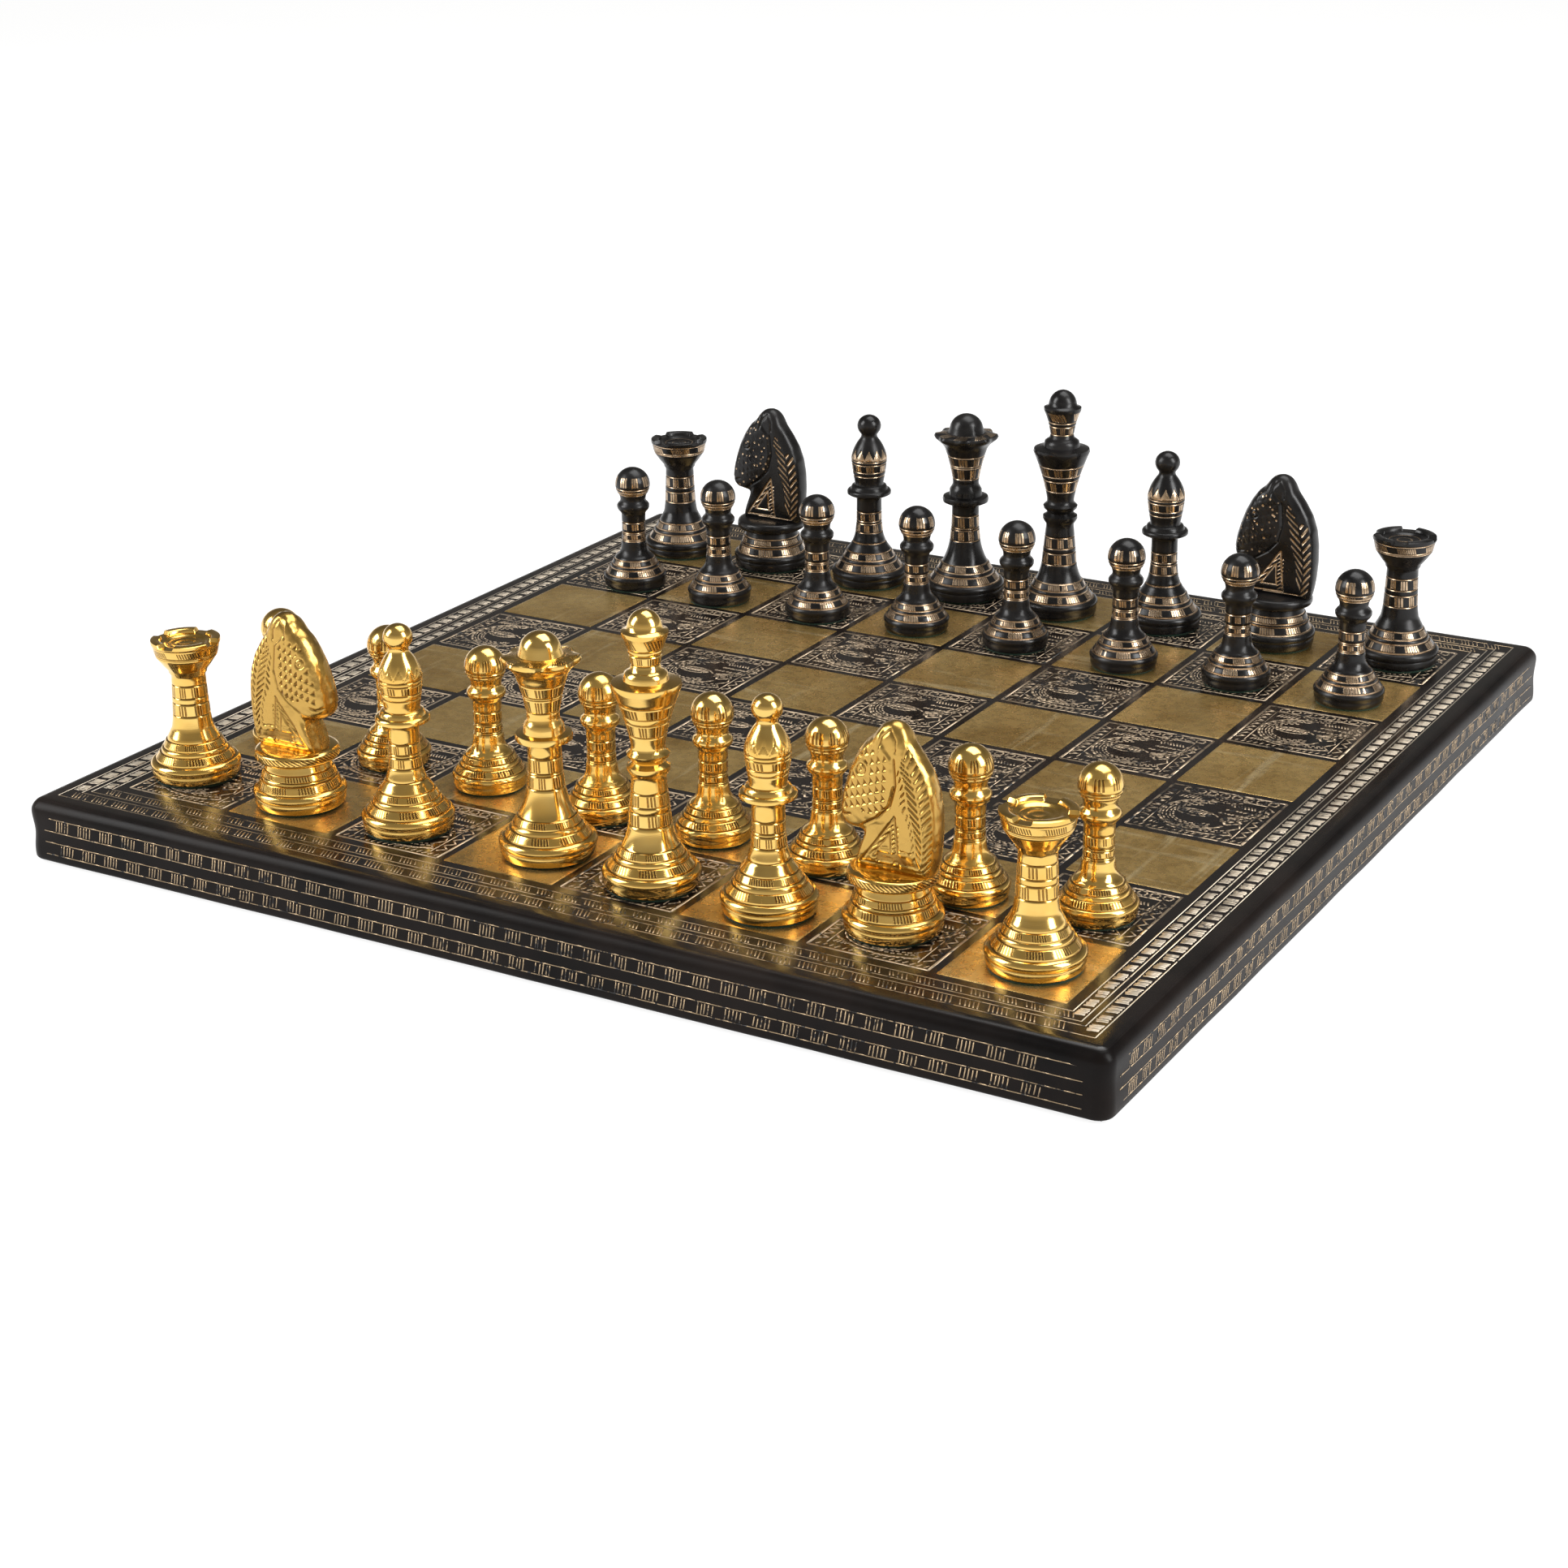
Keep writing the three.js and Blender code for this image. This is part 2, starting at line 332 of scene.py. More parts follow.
def ring_faces(rings, columns):
    """Quads of a grid of rings that close round, first ring lowest: outward by the right hand."""
    low = np.arange(rings - 1)[:, None] * columns
    here = np.arange(columns)[None, :]
    after = (here + 1) % columns
    sides = [low + here, low + after, low + columns + after, low + columns + here]
    return np.stack(sides, -1).reshape(-1, 4)


def cap_faces(rings, columns):
    """Triangles from the first and last rings to two pole points stored after the grid."""
    here = np.arange(columns)
    after = (here + 1) % columns
    last = (rings - 1) * columns
    low_pole = np.full(columns, rings * columns)
    bottom = np.stack([low_pole, after, here], -1)
    top = np.stack([last + here, last + after, low_pole + 1], -1)
    return np.concatenate([bottom, top])


def smooth(made):
    """Shades a piece as a curved surface, with creases where faces meet at over 50 degrees."""
    made.data.polygons.foreach_set("use_smooth", np.ones(len(made.data.polygons), bool))
    made.data.set_sharp_from_angle(angle=math.radians(50))
    return made


def joined(grids):
    """Several closed grids as one: points, quads, triangles, numbers by name, and beats. A
    grid is a dict of points, rings and columns, with numbers for its points and, where it
    has tallies, a row of columns + 1 beats for each ring."""
    labels = sorted({label for grid in grids for label in grid.get("numbers", {})})
    numbers = {label: [] for label in labels}
    points, quads, triangles, beats, count = [], [], [], [], 0
    for grid in grids:
        rings, columns = grid["rings"], grid["columns"]
        points.append(grid["points"])
        quads.append(ring_faces(rings, columns) + count)
        triangles.append(cap_faces(rings, columns) + count)
        for label in labels:
            numbers[label].append(grid.get("numbers", {}).get(label, np.zeros(len(grid["points"]))))
        beat = grid.get("beat", np.zeros((rings, columns + 1)))
        low, high = beat[:-1], beat[1:]
        beats.append(np.stack([low[:, :-1], low[:, 1:], high[:, 1:], high[:, :-1]], -1).ravel())
        count += len(grid["points"])
    points, quads, triangles = (np.concatenate(parts) for parts in (points, quads, triangles))
    numbers = {label: np.concatenate(values) for label, values in numbers.items()}
    return points, quads, triangles, numbers, np.concatenate(beats + [np.zeros(3 * len(triangles))])


def swarm(name, runs, finish):
    """Runs of bars as one piece of foil. A run is its points and its quads."""
    first = np.cumsum([0] + [len(points) for points, _ in runs])
    quads = np.concatenate([quads + count for (_, quads), count in zip(runs, first)])
    points = np.concatenate([points for points, _ in runs])
    piece(name, points, quads, [], finish, "board")
    print(name, len(points) // 8, "bars")


print("surface helpers ready")

# %% [markdown]
# ## Finishes of the men
# The gold side is polished brass under a thin warm lacquer: a mirror, softened by faint turning
# marks and finger mottling, with painted shade, a dark brown, at the bottom of each cut and
# tally stroke. The knights' heads are cast, so they are duller, deeper in colour and a little
# lumpy. The black side is the same brass under black lacquer, and the graver cuts through it
# afterwards. Each man's mesh carries the numbers that they read: "cut" is 1 at the bottom of a
# line, "bare" is 1 where the lacquer is gone, "cast" is 1 on a cast surface, "speck" is 1 on
# the face of a knight, where the point of the graver leaves dots, and "beat", "group" and
# "band" place the tally strokes.

# %% Brass and black lacquer
GOLD = (0.86, 0.58, 0.180)
GOLD_DEEP = (0.82, 0.46, 0.085)
CAST_GOLD = (0.57, 0.350, 0.090)
# painted shade: the dark brown laid into the bottom of each cut and tally stroke
PAINTED_CUT_SHADE = (0.17, 0.07, 0.012)
BARE_BRASS = (0.68, 0.51, 0.35)
DULL_BRASS = (0.34, 0.235, 0.14)
LACQUER = (0.0035, 0.0033, 0.0035)
LACQUER_PALE = (0.012, 0.011, 0.011)


def blank(name):
    """A node material with its tree, its Principled shader and its Object coordinates."""
    made = bpy.data.materials.new(name)
    made.use_nodes = True
    tree = made.node_tree
    return made, tree, tree.nodes["Principled BSDF"], (add(tree, "TexCoord"), "Object")


def placed(tree, group, coords, **values):
    """An effect group in a material, reading its coordinates."""
    made = add(tree, "Group", node_tree=group)
    fill(tree, made, Vector=coords, **values)
    return made, "Amount"


def bumped(tree, shader, height, strength, depth=0.0002):
    """Feeds a height, 1 of which is so many metres deep, to the shader's Normal."""
    bump = add(tree, "Bump", Strength=strength, Distance=depth, Height=height)
    fill(tree, shader, Normal=(bump, "Normal"))


def carried(tree, label):
    """A number that the meshes carry."""
    return add(tree, "Attribute", attribute_name=label), "Fac"


def tally_marks(tree):
    """The tally effect in a material, reading the numbers that the men's meshes carry."""
    made = add(tree, "Group", node_tree=tally)
    fill(tree, made, **{entry: carried(tree, entry.lower()) for entry in ("Beat", "Group", "Band")})
    return made, "Amount"


def polished_brass():
    """Gold side: mirror metal, warm mottling, turning marks and painted brown shade in cuts."""
    made, tree, shader, coords = blank("polished_brass")
    cast = carried(tree, "cast")
    hands = placed(tree, mottle, coords, Scale=90, Detail=4)
    lumps = placed(tree, mottle, coords, Scale=170, Detail=2)
    strokes = ramp(tree, tally_marks(tree), 0.34, 0.64)
    cut_shade_share = maths(tree, "MAXIMUM", strokes, carried(tree, "cut"))
    turned = blend(tree, GOLD, GOLD_DEEP, ramp(tree, hands, 0, 1, 0, 0.6))
    metal = blend(tree, turned, CAST_GOLD, cast)
    haze = ramp(tree, hands, 0, 1, 0.12, 0.22)
    # The base colour goes to dark brown in the cuts and tally strokes: painted shade.
    fill(
        tree, shader, Metallic=1,
        Base_Color=blend(tree, metal, PAINTED_CUT_SHADE, ramp(tree, cut_shade_share, 0.40, 1, 0, 0.85)),
        Roughness=maths(tree, "MULTIPLY_ADD", cast, 0.08, haze),
    )
    marks = add(
        tree, "TexWave", bands_direction="Z", Vector=coords, Scale=900, Distortion=2.5, Detail=2
    )
    turning = maths(tree, "MULTIPLY", (marks, "Fac"), 0.005)
    lumpy = maths(tree, "MULTIPLY", lumps, cast)
    height = maths(tree, "SUBTRACT", maths(tree, "ADD", turning, lumpy), strokes)
    bumped(tree, shader, height, 1.0, 0.00025)
    return made


def black_lacquer():
    """Black side: soft lacquer, with bare brass wherever the graver goes through it."""
    made, tree, shader, coords = blank("black_lacquer")
    hands = placed(tree, mottle, coords, Scale=140, Detail=5)
    tarnish = placed(tree, mottle, coords, Scale=420, Detail=3)
    strokes = ramp(tree, tally_marks(tree), 0.20, 0.34)
    lines = ramp(tree, carried(tree, "bare"), 0.30, 0.46)
    dots = add(tree, "TexVoronoi", Vector=coords, Scale=640)
    dot = ramp(tree, (dots, "Distance"), 0.26, 0.17)
    specks = maths(tree, "MULTIPLY", dot, carried(tree, "speck"))
    bare = maths(tree, "MAXIMUM", maths(tree, "MAXIMUM", strokes, lines), specks)
    skin = blend(tree, LACQUER, LACQUER_PALE, hands)
    metal = blend(tree, BARE_BRASS, DULL_BRASS, tarnish)
    fill(
        tree, shader, Base_Color=blend(tree, skin, metal, bare), Metallic=bare,
        Roughness=ramp(tree, hands, 0, 1, 0.20, 0.36), Specular_IOR_Level=0.32,
    )
    height = maths(tree, "MULTIPLY_ADD", hands, 0.10, maths(tree, "SUBTRACT", 0, bare))
    bumped(tree, shader, height, 0.6, 0.00012)
    return made


def fibres(name, low, high, scale, roughness, bump, depth=0.0002, sheen=0.0):
    """Felt or pressed fibre: fine mottling in colour and height."""
    made, tree, shader, coords = blank(name)
    short = placed(tree, mottle, coords, Scale=scale, Detail=6)
    fill(tree, shader, Base_Color=blend(tree, low, high, short), Roughness=roughness)
    fill(tree, shader, Sheen_Weight=sheen)
    bumped(tree, shader, short, bump, depth)
    return made


FELT = (2600, 0.95, 0.6, 0.0003, 0.1)  # scale, roughness, bump, depth and sheen
brass = polished_brass()
lacquer = black_lacquer()
men_felt = fibres("green_felt", (0.004, 0.020, 0.011), (0.010, 0.042, 0.022), *FELT)
lining_felt = fibres("lining_felt", (0.010, 0.010, 0.012), (0.030, 0.030, 0.034), *FELT)
print("finishes:", [made.name for made in (brass, lacquer, men_felt, lining_felt)])

# %% [markdown]
# ## How a man is turned
# On the lathe a man is one outline turned about his axis. The outline here is a short list of
# stations, with arcs for balls and bends for hollows. It is walked in small steps and averaged
# over a quarter of a millimetre, which rounds each corner as polishing does. Then only the
# steps that the shape needs are kept, closer together where the outline bends.

# %% Outline tools
WALK = 0.04  # millimetres between steps along an outline


def bend(start, control, end, count=8):
    """A hollow or swelling: the curve (1-t)^2 start + 2t(1-t) control + t^2 end."""
    t = np.linspace(0, 1, count)[:, None]
    return ((1 - t) ** 2 * start + 2 * t * (1 - t) * control + t**2 * end).tolist()


def ball(middle, radius, height, low, high=90, count=14):
    """Part of an ellipse about the axis: radius cos(a), middle + height sin(a), a in degrees."""
    a = np.radians(np.linspace(low, high, count))
    return np.stack([radius * np.cos(a), middle + height * np.sin(a)], -1).tolist()


def walked(stations, polish):
    """Equal steps along the outline, averaged with a bell curve as wide as polish. Past the
    axis the outline goes on as its own mirror image, so that a dome stays round on top."""
    corner = np.array(stations, float)
    run = np.concatenate([[0], np.cumsum(np.hypot(*np.diff(corner, axis=0).T))])
    s = np.arange(0, run[-1], WALK)
    reach, rise = np.interp(s, run, corner[:, 0]), np.interp(s, run, corner[:, 1])
    half = int(3 * polish / WALK)
    bell = np.exp(-0.5 * (np.arange(-half, half + 1) * WALK / polish) ** 2)
    bell /= bell.sum()
    reach = np.concatenate([-reach[half:0:-1], reach, -reach[-2 : -half - 2 : -1]])
    rise = np.concatenate([rise[half:0:-1], rise, rise[-2 : -half - 2 : -1]])
    return np.convolve(reach, bell, "valid"), np.convolve(rise, bell, "valid")


def outline(stations, rings, lines=(), polish=0.16):
    """Stations for about this many rings: places equally far apart in length plus 0.3 mm per
    radian of bending, and three more at each height in lines. Returns reach, rise and the
    outward direction there."""
    reach, rise = walked(stations, polish)
    step_r, step_z = np.gradient(reach), np.gradient(rise)
    length = np.hypot(step_r, step_z)
    heading = np.unwrap(np.arctan2(step_z, step_r))
    effort = np.cumsum(length + 0.3 * np.abs(np.gradient(heading)))
    index = np.arange(len(reach))
    picked = np.interp(np.linspace(effort[0], effort[-1], rings), effort, index)
    top = int(np.argmax(rise))
    outside = np.interp(lines, np.maximum.accumulate(rise[:top]), index[:top]) if len(lines) else []
    picked = np.unique(np.round(np.concatenate([picked, outside])).astype(int))
    picked = picked[(picked > 2) & (picked < len(reach) - 3)]
    out_r, out_z = step_z / length, -step_r / length
    return reach[picked], rise[picked], out_r[picked], out_z[picked]


print("a 10 mm ball takes", len(outline(ball(5, 5, 5, -90), 40)[0]), "rings")

# %% [markdown]
# ## What the graver does
# Two kinds of cut cover every man. A ring is a fine V groove all the way round, sunk into the
# mesh. A tally is a band of short upright strokes in groups, with plain gaps between the
# groups. Strokes are finer than the mesh, so the mesh only counts: each corner of a face gets
# its beat, the strokes counted so far round the turn, and the tally effect does the rest. The
# count wavers a little, because hands do.

# %% Rings and tallies
RING_HALF = 0.28  # half of a ring's width
RING_DEEP = 0.20
EDGE = 0.12  # how quickly a band starts and ends
WAVER = 0.35  # beats
ZIGZAG_HALF = 0.35  # half the width of a zigzag line
ZIGZAG_MARGIN = 0.3  # how far it may run past its two heights


def ring_cut(rise, at):
    """1 at the ring's height, falling straight to 0 at half its width above and below."""
    return np.clip(1 - np.abs(rise - at) / RING_HALF, 0, 1)


def tallies(rise, columns, bands):
    """Beats, group size and share of each ring. A band is [low, high, strokes to the turn,
    group, slant, first beat], and its share rises from 0 to 1 over EDGE at both ends. Beats
    go on from 0 to the full turn, with a waver of three waves to the turn."""
    turn = np.linspace(0, 1, columns + 1)[None, :]
    beat = np.zeros((len(rise), columns + 1))
    group = np.full(len(rise), 5.0)
    share = np.zeros(len(rise))
    for low, high, around, size, slant, start in bands:
        inside = (rise > low - 0.1) & (rise < high + 0.1)
        climb = ((rise - low) / (high - low))[:, None]
        waver = WAVER * np.sin(2 * np.pi * (3 * turn + start / 7))
        beat = np.where(inside[:, None], turn * around + slant * climb + start + waver, beat)
        group = np.where(inside, size, group)
        edge = np.clip((rise - low) / EDGE, 0, 1) * np.clip((high - rise) / EDGE, 0, 1)
        share = np.where(inside, edge, share)
    return beat, group, share


def zigzag(rise, turn, low, high, around):
    """A line that runs up and down between two heights, around times to the turn, and the
    area between it and the lower height, which the graver clears on the black side."""
    above = (rise - low - np.abs(2 * ((turn * around) % 1) - 1) * (high - low)) / ZIGZAG_HALF
    over = rise > low - ZIGZAG_MARGIN
    line = np.clip(1 - np.abs(above), 0, 1) * (over & (rise < high + ZIGZAG_MARGIN))
    return line, np.clip(0.5 - above, 0, 1) * over


def line_heights(rings, bands):
    """Heights where the grid needs rings: both sides and the bottom of a ring, and a band's
    edges and middle."""
    wide = [at + side * RING_HALF for at in rings for side in (-1, 0, 1)]
    for low, high, *_ in bands:
        wide += [low, low + EDGE, (low + high) / 2, high - EDGE, high]
    return wide


# %% [markdown]
# ## The turned men
# Each kind is a list of stations [radius, height], in millimetres above the board, with its
# rings and tallies. All start with the same foot: a plinth, a swelling, and three sloping
# collars, of which the first and third carry tallies.

# %% Foot and kinds
FOOT_R = 11.9  # the foot below is drawn at this radius and drawn in or out for each man
FOOT = [
    [0, 0.6], [11.15, 0.6], [11.4, 0.85], [11.6, 2.7], [11.3, 2.95], [11.35, 3.15],
    [11.75, 3.4], [11.9, 4.0], [11.75, 4.6], [11.3, 5.1], [10.8, 5.4], [10.5, 5.6],
    [9.05, 7.65], [8.8, 7.8], [8.4, 8.8], [8.15, 8.95], [7.2, 10.8], [6.95, 10.95],
]
FOOT_RINGS = [5.62, 7.72, 8.92, 10.88]
FOOT_BANDS = [(5.85, 7.5), (9.12, 10.65)]


def foot(radius):
    """The foot's stations, with its width scaled to a man's own."""
    return [[reach * radius / FOOT_R, rise] for reach, rise in FOOT]


KINDS = {}
KINDS["king"] = {
    "outline": foot(12) + bend((6.8, 11.1), (5.6, 13.6), (5.3, 16)) + [
        [4.9, 20.5], [4.1, 28.0], [4.25, 28.5], [5.0, 29.3], [5.3, 30.2], [5.1, 30.9],
        [4.0, 31.3], [3.85, 31.8], [4.0, 32.2], [4.9, 32.9], [5.2, 33.7], [5.0, 34.2],
        [4.1, 34.6],
    ] + bend((3.95, 35.4), (4.9, 41.5), (7.9, 49.3)) + [
        [8.4, 50.3], [8.45, 51.0], [8.15, 51.4], [5.6, 51.75], [5.3, 52.0], [5.25, 53.4],
        [4.9, 53.9], [3.7, 54.5], [3.5, 55.2],
    ] + bend((3.55, 55.9), (4.1, 60), (5.55, 63.0)) + [[5.7, 63.6], [5.4, 63.95], [4.35, 64.15]]
    + ball(64.4, 4.2, 4.55, 0, 84) + [[0.45, 69.0], [0.35, 69.2], [0, 69.22]],
    "rings": [16.2, 19.6, 21.15, 24.4, 38.6, 41.9, 43.4, 46.3, 55.8, 58.2, 59.4],
    "stem": [(16.5, 19.3), (21.45, 24.1), (38.9, 41.6), (43.7, 46.0), (56.05, 57.95)],
    "rings_kept": 92,
}
KINDS["queen"] = {
    "outline": foot(12.25) + bend((6.9, 11.1), (5.4, 13.8), (4.75, 17.4)) + [
        [4.27, 22.5], [4.1, 28.4], [4.3, 29.0], [6.5, 29.7], [7.0, 30.0], [7.05, 31.2],
        [6.85, 31.6], [5.1, 31.8], [4.95, 32.1], [4.9, 34.0], [4.5, 34.5], [4.05, 35.0],
    ] + bend((3.95, 36.2), (4.7, 41.5), (6.3, 46.2)) + bend((6.5, 46.8), (7.2, 48.2), (9.3, 49.3))
    + [[9.8, 49.8], [9.85, 50.5], [9.5, 50.85], [5.9, 51.3], [5.35, 51.5], [5.3, 52.4]]
    + ball(52.5, 5.1, 4.7, 4),
    "rings": [18.0, 21.4, 22.05, 25.7, 37.4, 40.9, 41.5, 44.4],
    "stem": [(18.3, 21.1), (22.35, 25.4), (37.7, 40.6), (41.8, 44.1)],
    "rings_kept": 84,
}
KINDS["bishop"] = {
    "outline": foot(11.75) + bend((6.9, 11.1), (5.2, 12.9), (4.4, 15.9)) + [
        [3.97, 20], [3.87, 26.1], [3.95, 27.8], [4.4, 28.25], [6.4, 28.5], [6.85, 28.85],
        [6.85, 29.8], [6.6, 30.15], [5.75, 30.25], [5.6, 30.5], [5.55, 31.3], [5.2, 31.6],
        [4.4, 31.8],
    ] + bend((4.4, 32.1), (5.2, 36), (5.5, 39.4)) + bend((5.5, 40.6), (4.9, 43.6), (3.1, 45.9))
    + [[2.45, 46.8]] + ball(50.25, 3.69, 3.4, -50),
    "rings": [13.6, 16.8, 19.6, 20.4, 23.1, 34.8, 36.2, 38.6, 39.6],
    "zigzag": (40.3, 42.9),
    "stem": [(17.1, 19.3), (20.7, 22.8), (36.45, 38.35)],
    "rings_kept": 84,
}
KINDS["rook"] = {
    "outline": foot(11.75) + [
        [6.3, 12.1], [5.8, 12.9], [5.7, 13.4], [5.4, 13.7], [4.95, 16.6], [4.7, 21.5],
        [4.42, 27.8], [4.5, 28.4], [4.95, 28.7], [4.95, 29.4], [5.3, 29.8], [6.4, 31.2],
        [7.7, 33.1], [8.0, 33.5], [8.2, 34.1], [8.6, 36.2], [8.85, 36.5], [8.95, 37.0],
        [8.95, 37.8], [8.75, 38.0], [6.75, 38.0], [6.55, 37.85], [6.45, 37.05], [6.25, 36.9],
        [5.2, 36.9], [5.0, 36.5], [4.6, 36.35], [4.4, 36.6], [3.9, 36.6], [3.7, 36.3],
        [2.3, 36.3], [2.1, 36.55], [1.6, 36.55], [1.4, 36.3], [0, 36.3],
    ],
    "rings": [17.5, 20.8, 22.4, 25.7, 33.7, 34.2, 36.4],
    "stem": [(17.8, 20.5), (22.7, 25.4)],
    "rim": (34.5, 36.1),
    "rings_kept": 84,
}
KINDS["pawn"] = {
    "outline": [
        [0, 0.55], [9.2, 0.55], [9.45, 0.8], [9.6, 2.3], [9.35, 2.5], [9.45, 2.75],
        [9.8, 3.1], [9.9, 3.7], [9.75, 4.2], [9.35, 4.6], [9.1, 4.8], [7.95, 6.65],
        [7.7, 6.8], [7.4, 7.5], [7.15, 7.7], [6.45, 9.25], [6.2, 9.4],
    ] + bend((6.1, 9.6), (4.6, 10.6), (4.15, 12.2)) + [
        [3.72, 16], [3.66, 20], [3.75, 23.8], [4.5, 24.5], [4.95, 25.1], [5.1, 26.1],
        [4.9, 26.6], [4.1, 27.3], [3.85, 27.7], [3.95, 28.4],
    ] + ball(32.75, 5.4, 5.3, -40),
    "rings": [4.85, 6.72, 7.68, 9.32, 15.0, 15.5, 17.2, 17.7, 20.8, 29.8, 30.7, 31.7],
    "stem": [(15.7, 17.0), (18.6, 20.5)],
    "foot_bands": [(5.05, 6.55), (7.85, 9.1)],
    "crown": (32.6, 35.6),
    "rings_kept": 62,
}
MAJOR_COLUMNS = 128
PAWN_COLUMNS = 112
print({kind: len(parts["outline"]) for kind, parts in KINDS.items()}, "stations")

# %% [markdown]
# ## From outline to mesh
# A man is a grid: his rings up the outline times columns round the turn. The cuts sink the
# points along the outline's outward direction. Two men need more than turning. The queen's
# coronet is filed into eight lobes, so its rim draws in and out with a cosine of eight turns.
# The rook's rim is notched four times, so its top is lowered where the notches are.

# %% Grids of the turned men
ROOK_RIM = 38.0
NOTCH_DEEP = 1.0
NOTCH_SHARE = 0.34  # share of the rim that the four notches take


def man_bands(kind, seed):
    """All tally bands of a man, each with its strokes, group, slant and first beat."""
    parts = KINDS[kind]
    start = iter(np.random.default_rng(seed).integers(0, 40, 12).tolist())
    wide, slim = (72, 34) if kind == "pawn" else (84, 40)
    bands = [(*band, wide, 10, 0.3, next(start)) for band in parts.get("foot_bands", FOOT_BANDS)]
    bands += [(*band, slim, 5, 0.2, next(start)) for band in parts["stem"]]
    if kind == "rook":
        bands.append((*parts["rim"], 84, 14, 0.8, next(start)))
    if kind == "pawn":
        bands.append((*parts["crown"], 40, 5, 0.1, next(start)))
        bands.append((30.05, 30.5, 60, 1, 0.2, 0))
        bands.append((30.95, 31.45, 60, 12, 0.2, 0))
    if kind == "king":
        bands.append((60.0, 62.6, 40, 10, 1.6, next(start)))
    return bands


def man_grid(kind, seed):
    """A man at the origin, standing on height 0, as a grid with its numbers and beats."""
    parts = KINDS[kind]
    columns = PAWN_COLUMNS if kind == "pawn" else MAJOR_COLUMNS
    bands = man_bands(kind, seed)
    rings = parts["rings"] + ([] if kind == "pawn" else FOOT_RINGS)
    heights = line_heights(rings, bands)
    heights += np.arange(*parts["zigzag"], 0.3).tolist() if "zigzag" in parts else []
    reach, rise, out_r, out_z = outline(parts["outline"], parts["rings_kept"], heights)
    turn = (np.arange(columns) / columns)[None, :]
    rise_grid = rise[:, None] + 0 * turn
    outward = np.clip(out_r * 4, 0, 1)
    cut = np.max([ring_cut(rise_grid, at) for at in rings], axis=0)
    bare = cut
    if "zigzag" in parts:
        line, below = zigzag(rise_grid, turn, *parts["zigzag"], 12)
        cut = np.maximum(cut, line)
        bare = np.maximum(cut, below)
    cut, bare = cut * outward[:, None], bare * outward[:, None]
    beat, group, share = tallies(rise, columns, bands)
    share = share * outward
    reach_grid = reach[:, None] - RING_DEEP * cut * out_r[:, None]
    rise_grid = rise_grid - RING_DEEP * cut * out_z[:, None]
    if kind == "queen":
        reach_grid, rise_grid = coronet(reach, rise, reach_grid, rise_grid, turn)
        on_top = (reach > 5.6) & (rise > 50.7) & (rise < 51.5)
        slant = 80 * np.linspace(0, 1, columns + 1)[None, :] + 0.6 * reach[:, None]
        beat = np.where(on_top[:, None], slant, beat)
        group = np.where(on_top, 10, group)
        edges = np.clip((reach - 5.9) / 0.3, 0, 1) * np.clip((9.3 - reach) / 0.3, 0, 1)
        share = np.where(on_top, edges, share)
    if kind == "rook":
        notch = (np.abs((turn * 4) % 1 - 0.5) < NOTCH_SHARE / 2) & (reach[:, None] > 6.3)
        floor = ROOK_RIM - NOTCH_DEEP
        rise_grid = np.where(notch, np.minimum(rise_grid, floor), rise_grid)
    return ring_grid(reach_grid, rise_grid, {"cut": cut, "bare": bare}, beat, group, share)


def ring_grid(reach, rise, numbers, beat, group, share):
    """The grid dict of a turned piece from its reach and height at every ring and column."""
    rings, columns = reach.shape
    angle = 2 * np.pi * np.arange(columns) / columns
    grid = np.stack([reach * np.cos(angle), reach * np.sin(angle), rise], -1)
    poles = [[0, 0, float(rise[0].mean())], [0, 0, float(rise[-1].mean())]]
    numbers = dict(numbers, group=group[:, None] + 0 * reach, band=share[:, None] + 0 * reach)
    return {
        "points": np.concatenate([grid.reshape(-1, 3), poles]), "rings": rings,
        "columns": columns, "beat": beat,
        "numbers": {label: np.append(values.ravel(), [0, 0]) for label, values in numbers.items()},
    }


def coronet(reach, rise, reach_grid, rise_grid, turn):
    """Eight lobes: the rim's reach falls by up to a ninth, as (1 - cos 8a) / 2, most at the
    tip, and its height goes up and down with it."""
    tip = np.clip((reach - 6.6) / 3.2, 0, 1)[:, None] ** 1.5 * (np.abs(rise - 49.5) < 2.6)[:, None]
    wave = (1 - np.cos(2 * np.pi * turn * 8)) / 2
    return reach_grid * (1 - 0.11 * wave * tip), rise_grid + 0.35 * (0.5 - wave) * tip


test = man_grid("king", 1)
print("king:", test["rings"], "rings of", test["columns"], "columns")

# %% [markdown]
# ## The knight
# His head is a casting, not a turning: a thick plate in the shape of the side view, rounded
# off at its edge, on a round plinth. The plate is a polar grid about a middle point, carried
# from one face over the edge to the other. The thickness follows a flat-topped curve, and the
# engraver's work is a number worked out from forward and height alone, so both faces have it.

# %% Head of the knight
HEAD_SIDE = [
    [9.2, 14.6], [8.3, 17.5], [7.2, 20.3], [6.3, 22.6], [6.6, 24.1], [8.6, 24.5], [10.9, 25.0],
    [12.3, 26.4], [12.75, 28.6], [12.3, 32.0], [11.3, 35.8], [10.0, 39.6], [8.2, 43.2],
    [6.4, 45.8], [4.9, 47.1], [4.3, 47.4], [3.5, 48.9], [1.9, 50.6], [-0.4, 51.3],
    [-2.6, 50.8], [-4.2, 49.0], [-4.9, 46.9], [-5.5, 46.2], [-7.6, 43.4], [-9.8, 39.8],
    [-11.3, 35.6], [-12.0, 31.0], [-12.15, 26.0], [-11.8, 21.0], [-11.2, 17.0], [-10.6, 14.6],
]
HEAD_MIDDLE = np.array([-1.0, 32.0])
HEAD_THICK = 9.4  # at the neck
HEAD_TAPER = 0.22  # share lost at the top
HEAD_LOW = 14  # where the taper starts
HEAD_TALL = 37.5  # and the height it runs over
HEAD_ANGLES = 360
HEAD_RINGS = 72
EDGE_RINGS = 16  # those of them that round the edge
SOFTEN = 7  # neighbours on each side that an outline point is averaged with
EYE = (6.2, 39.6)  # forward and height
PUNCH_ROW = 2.2  # from row to row, and from tooth to tooth
PUNCH_STEP = 1.7
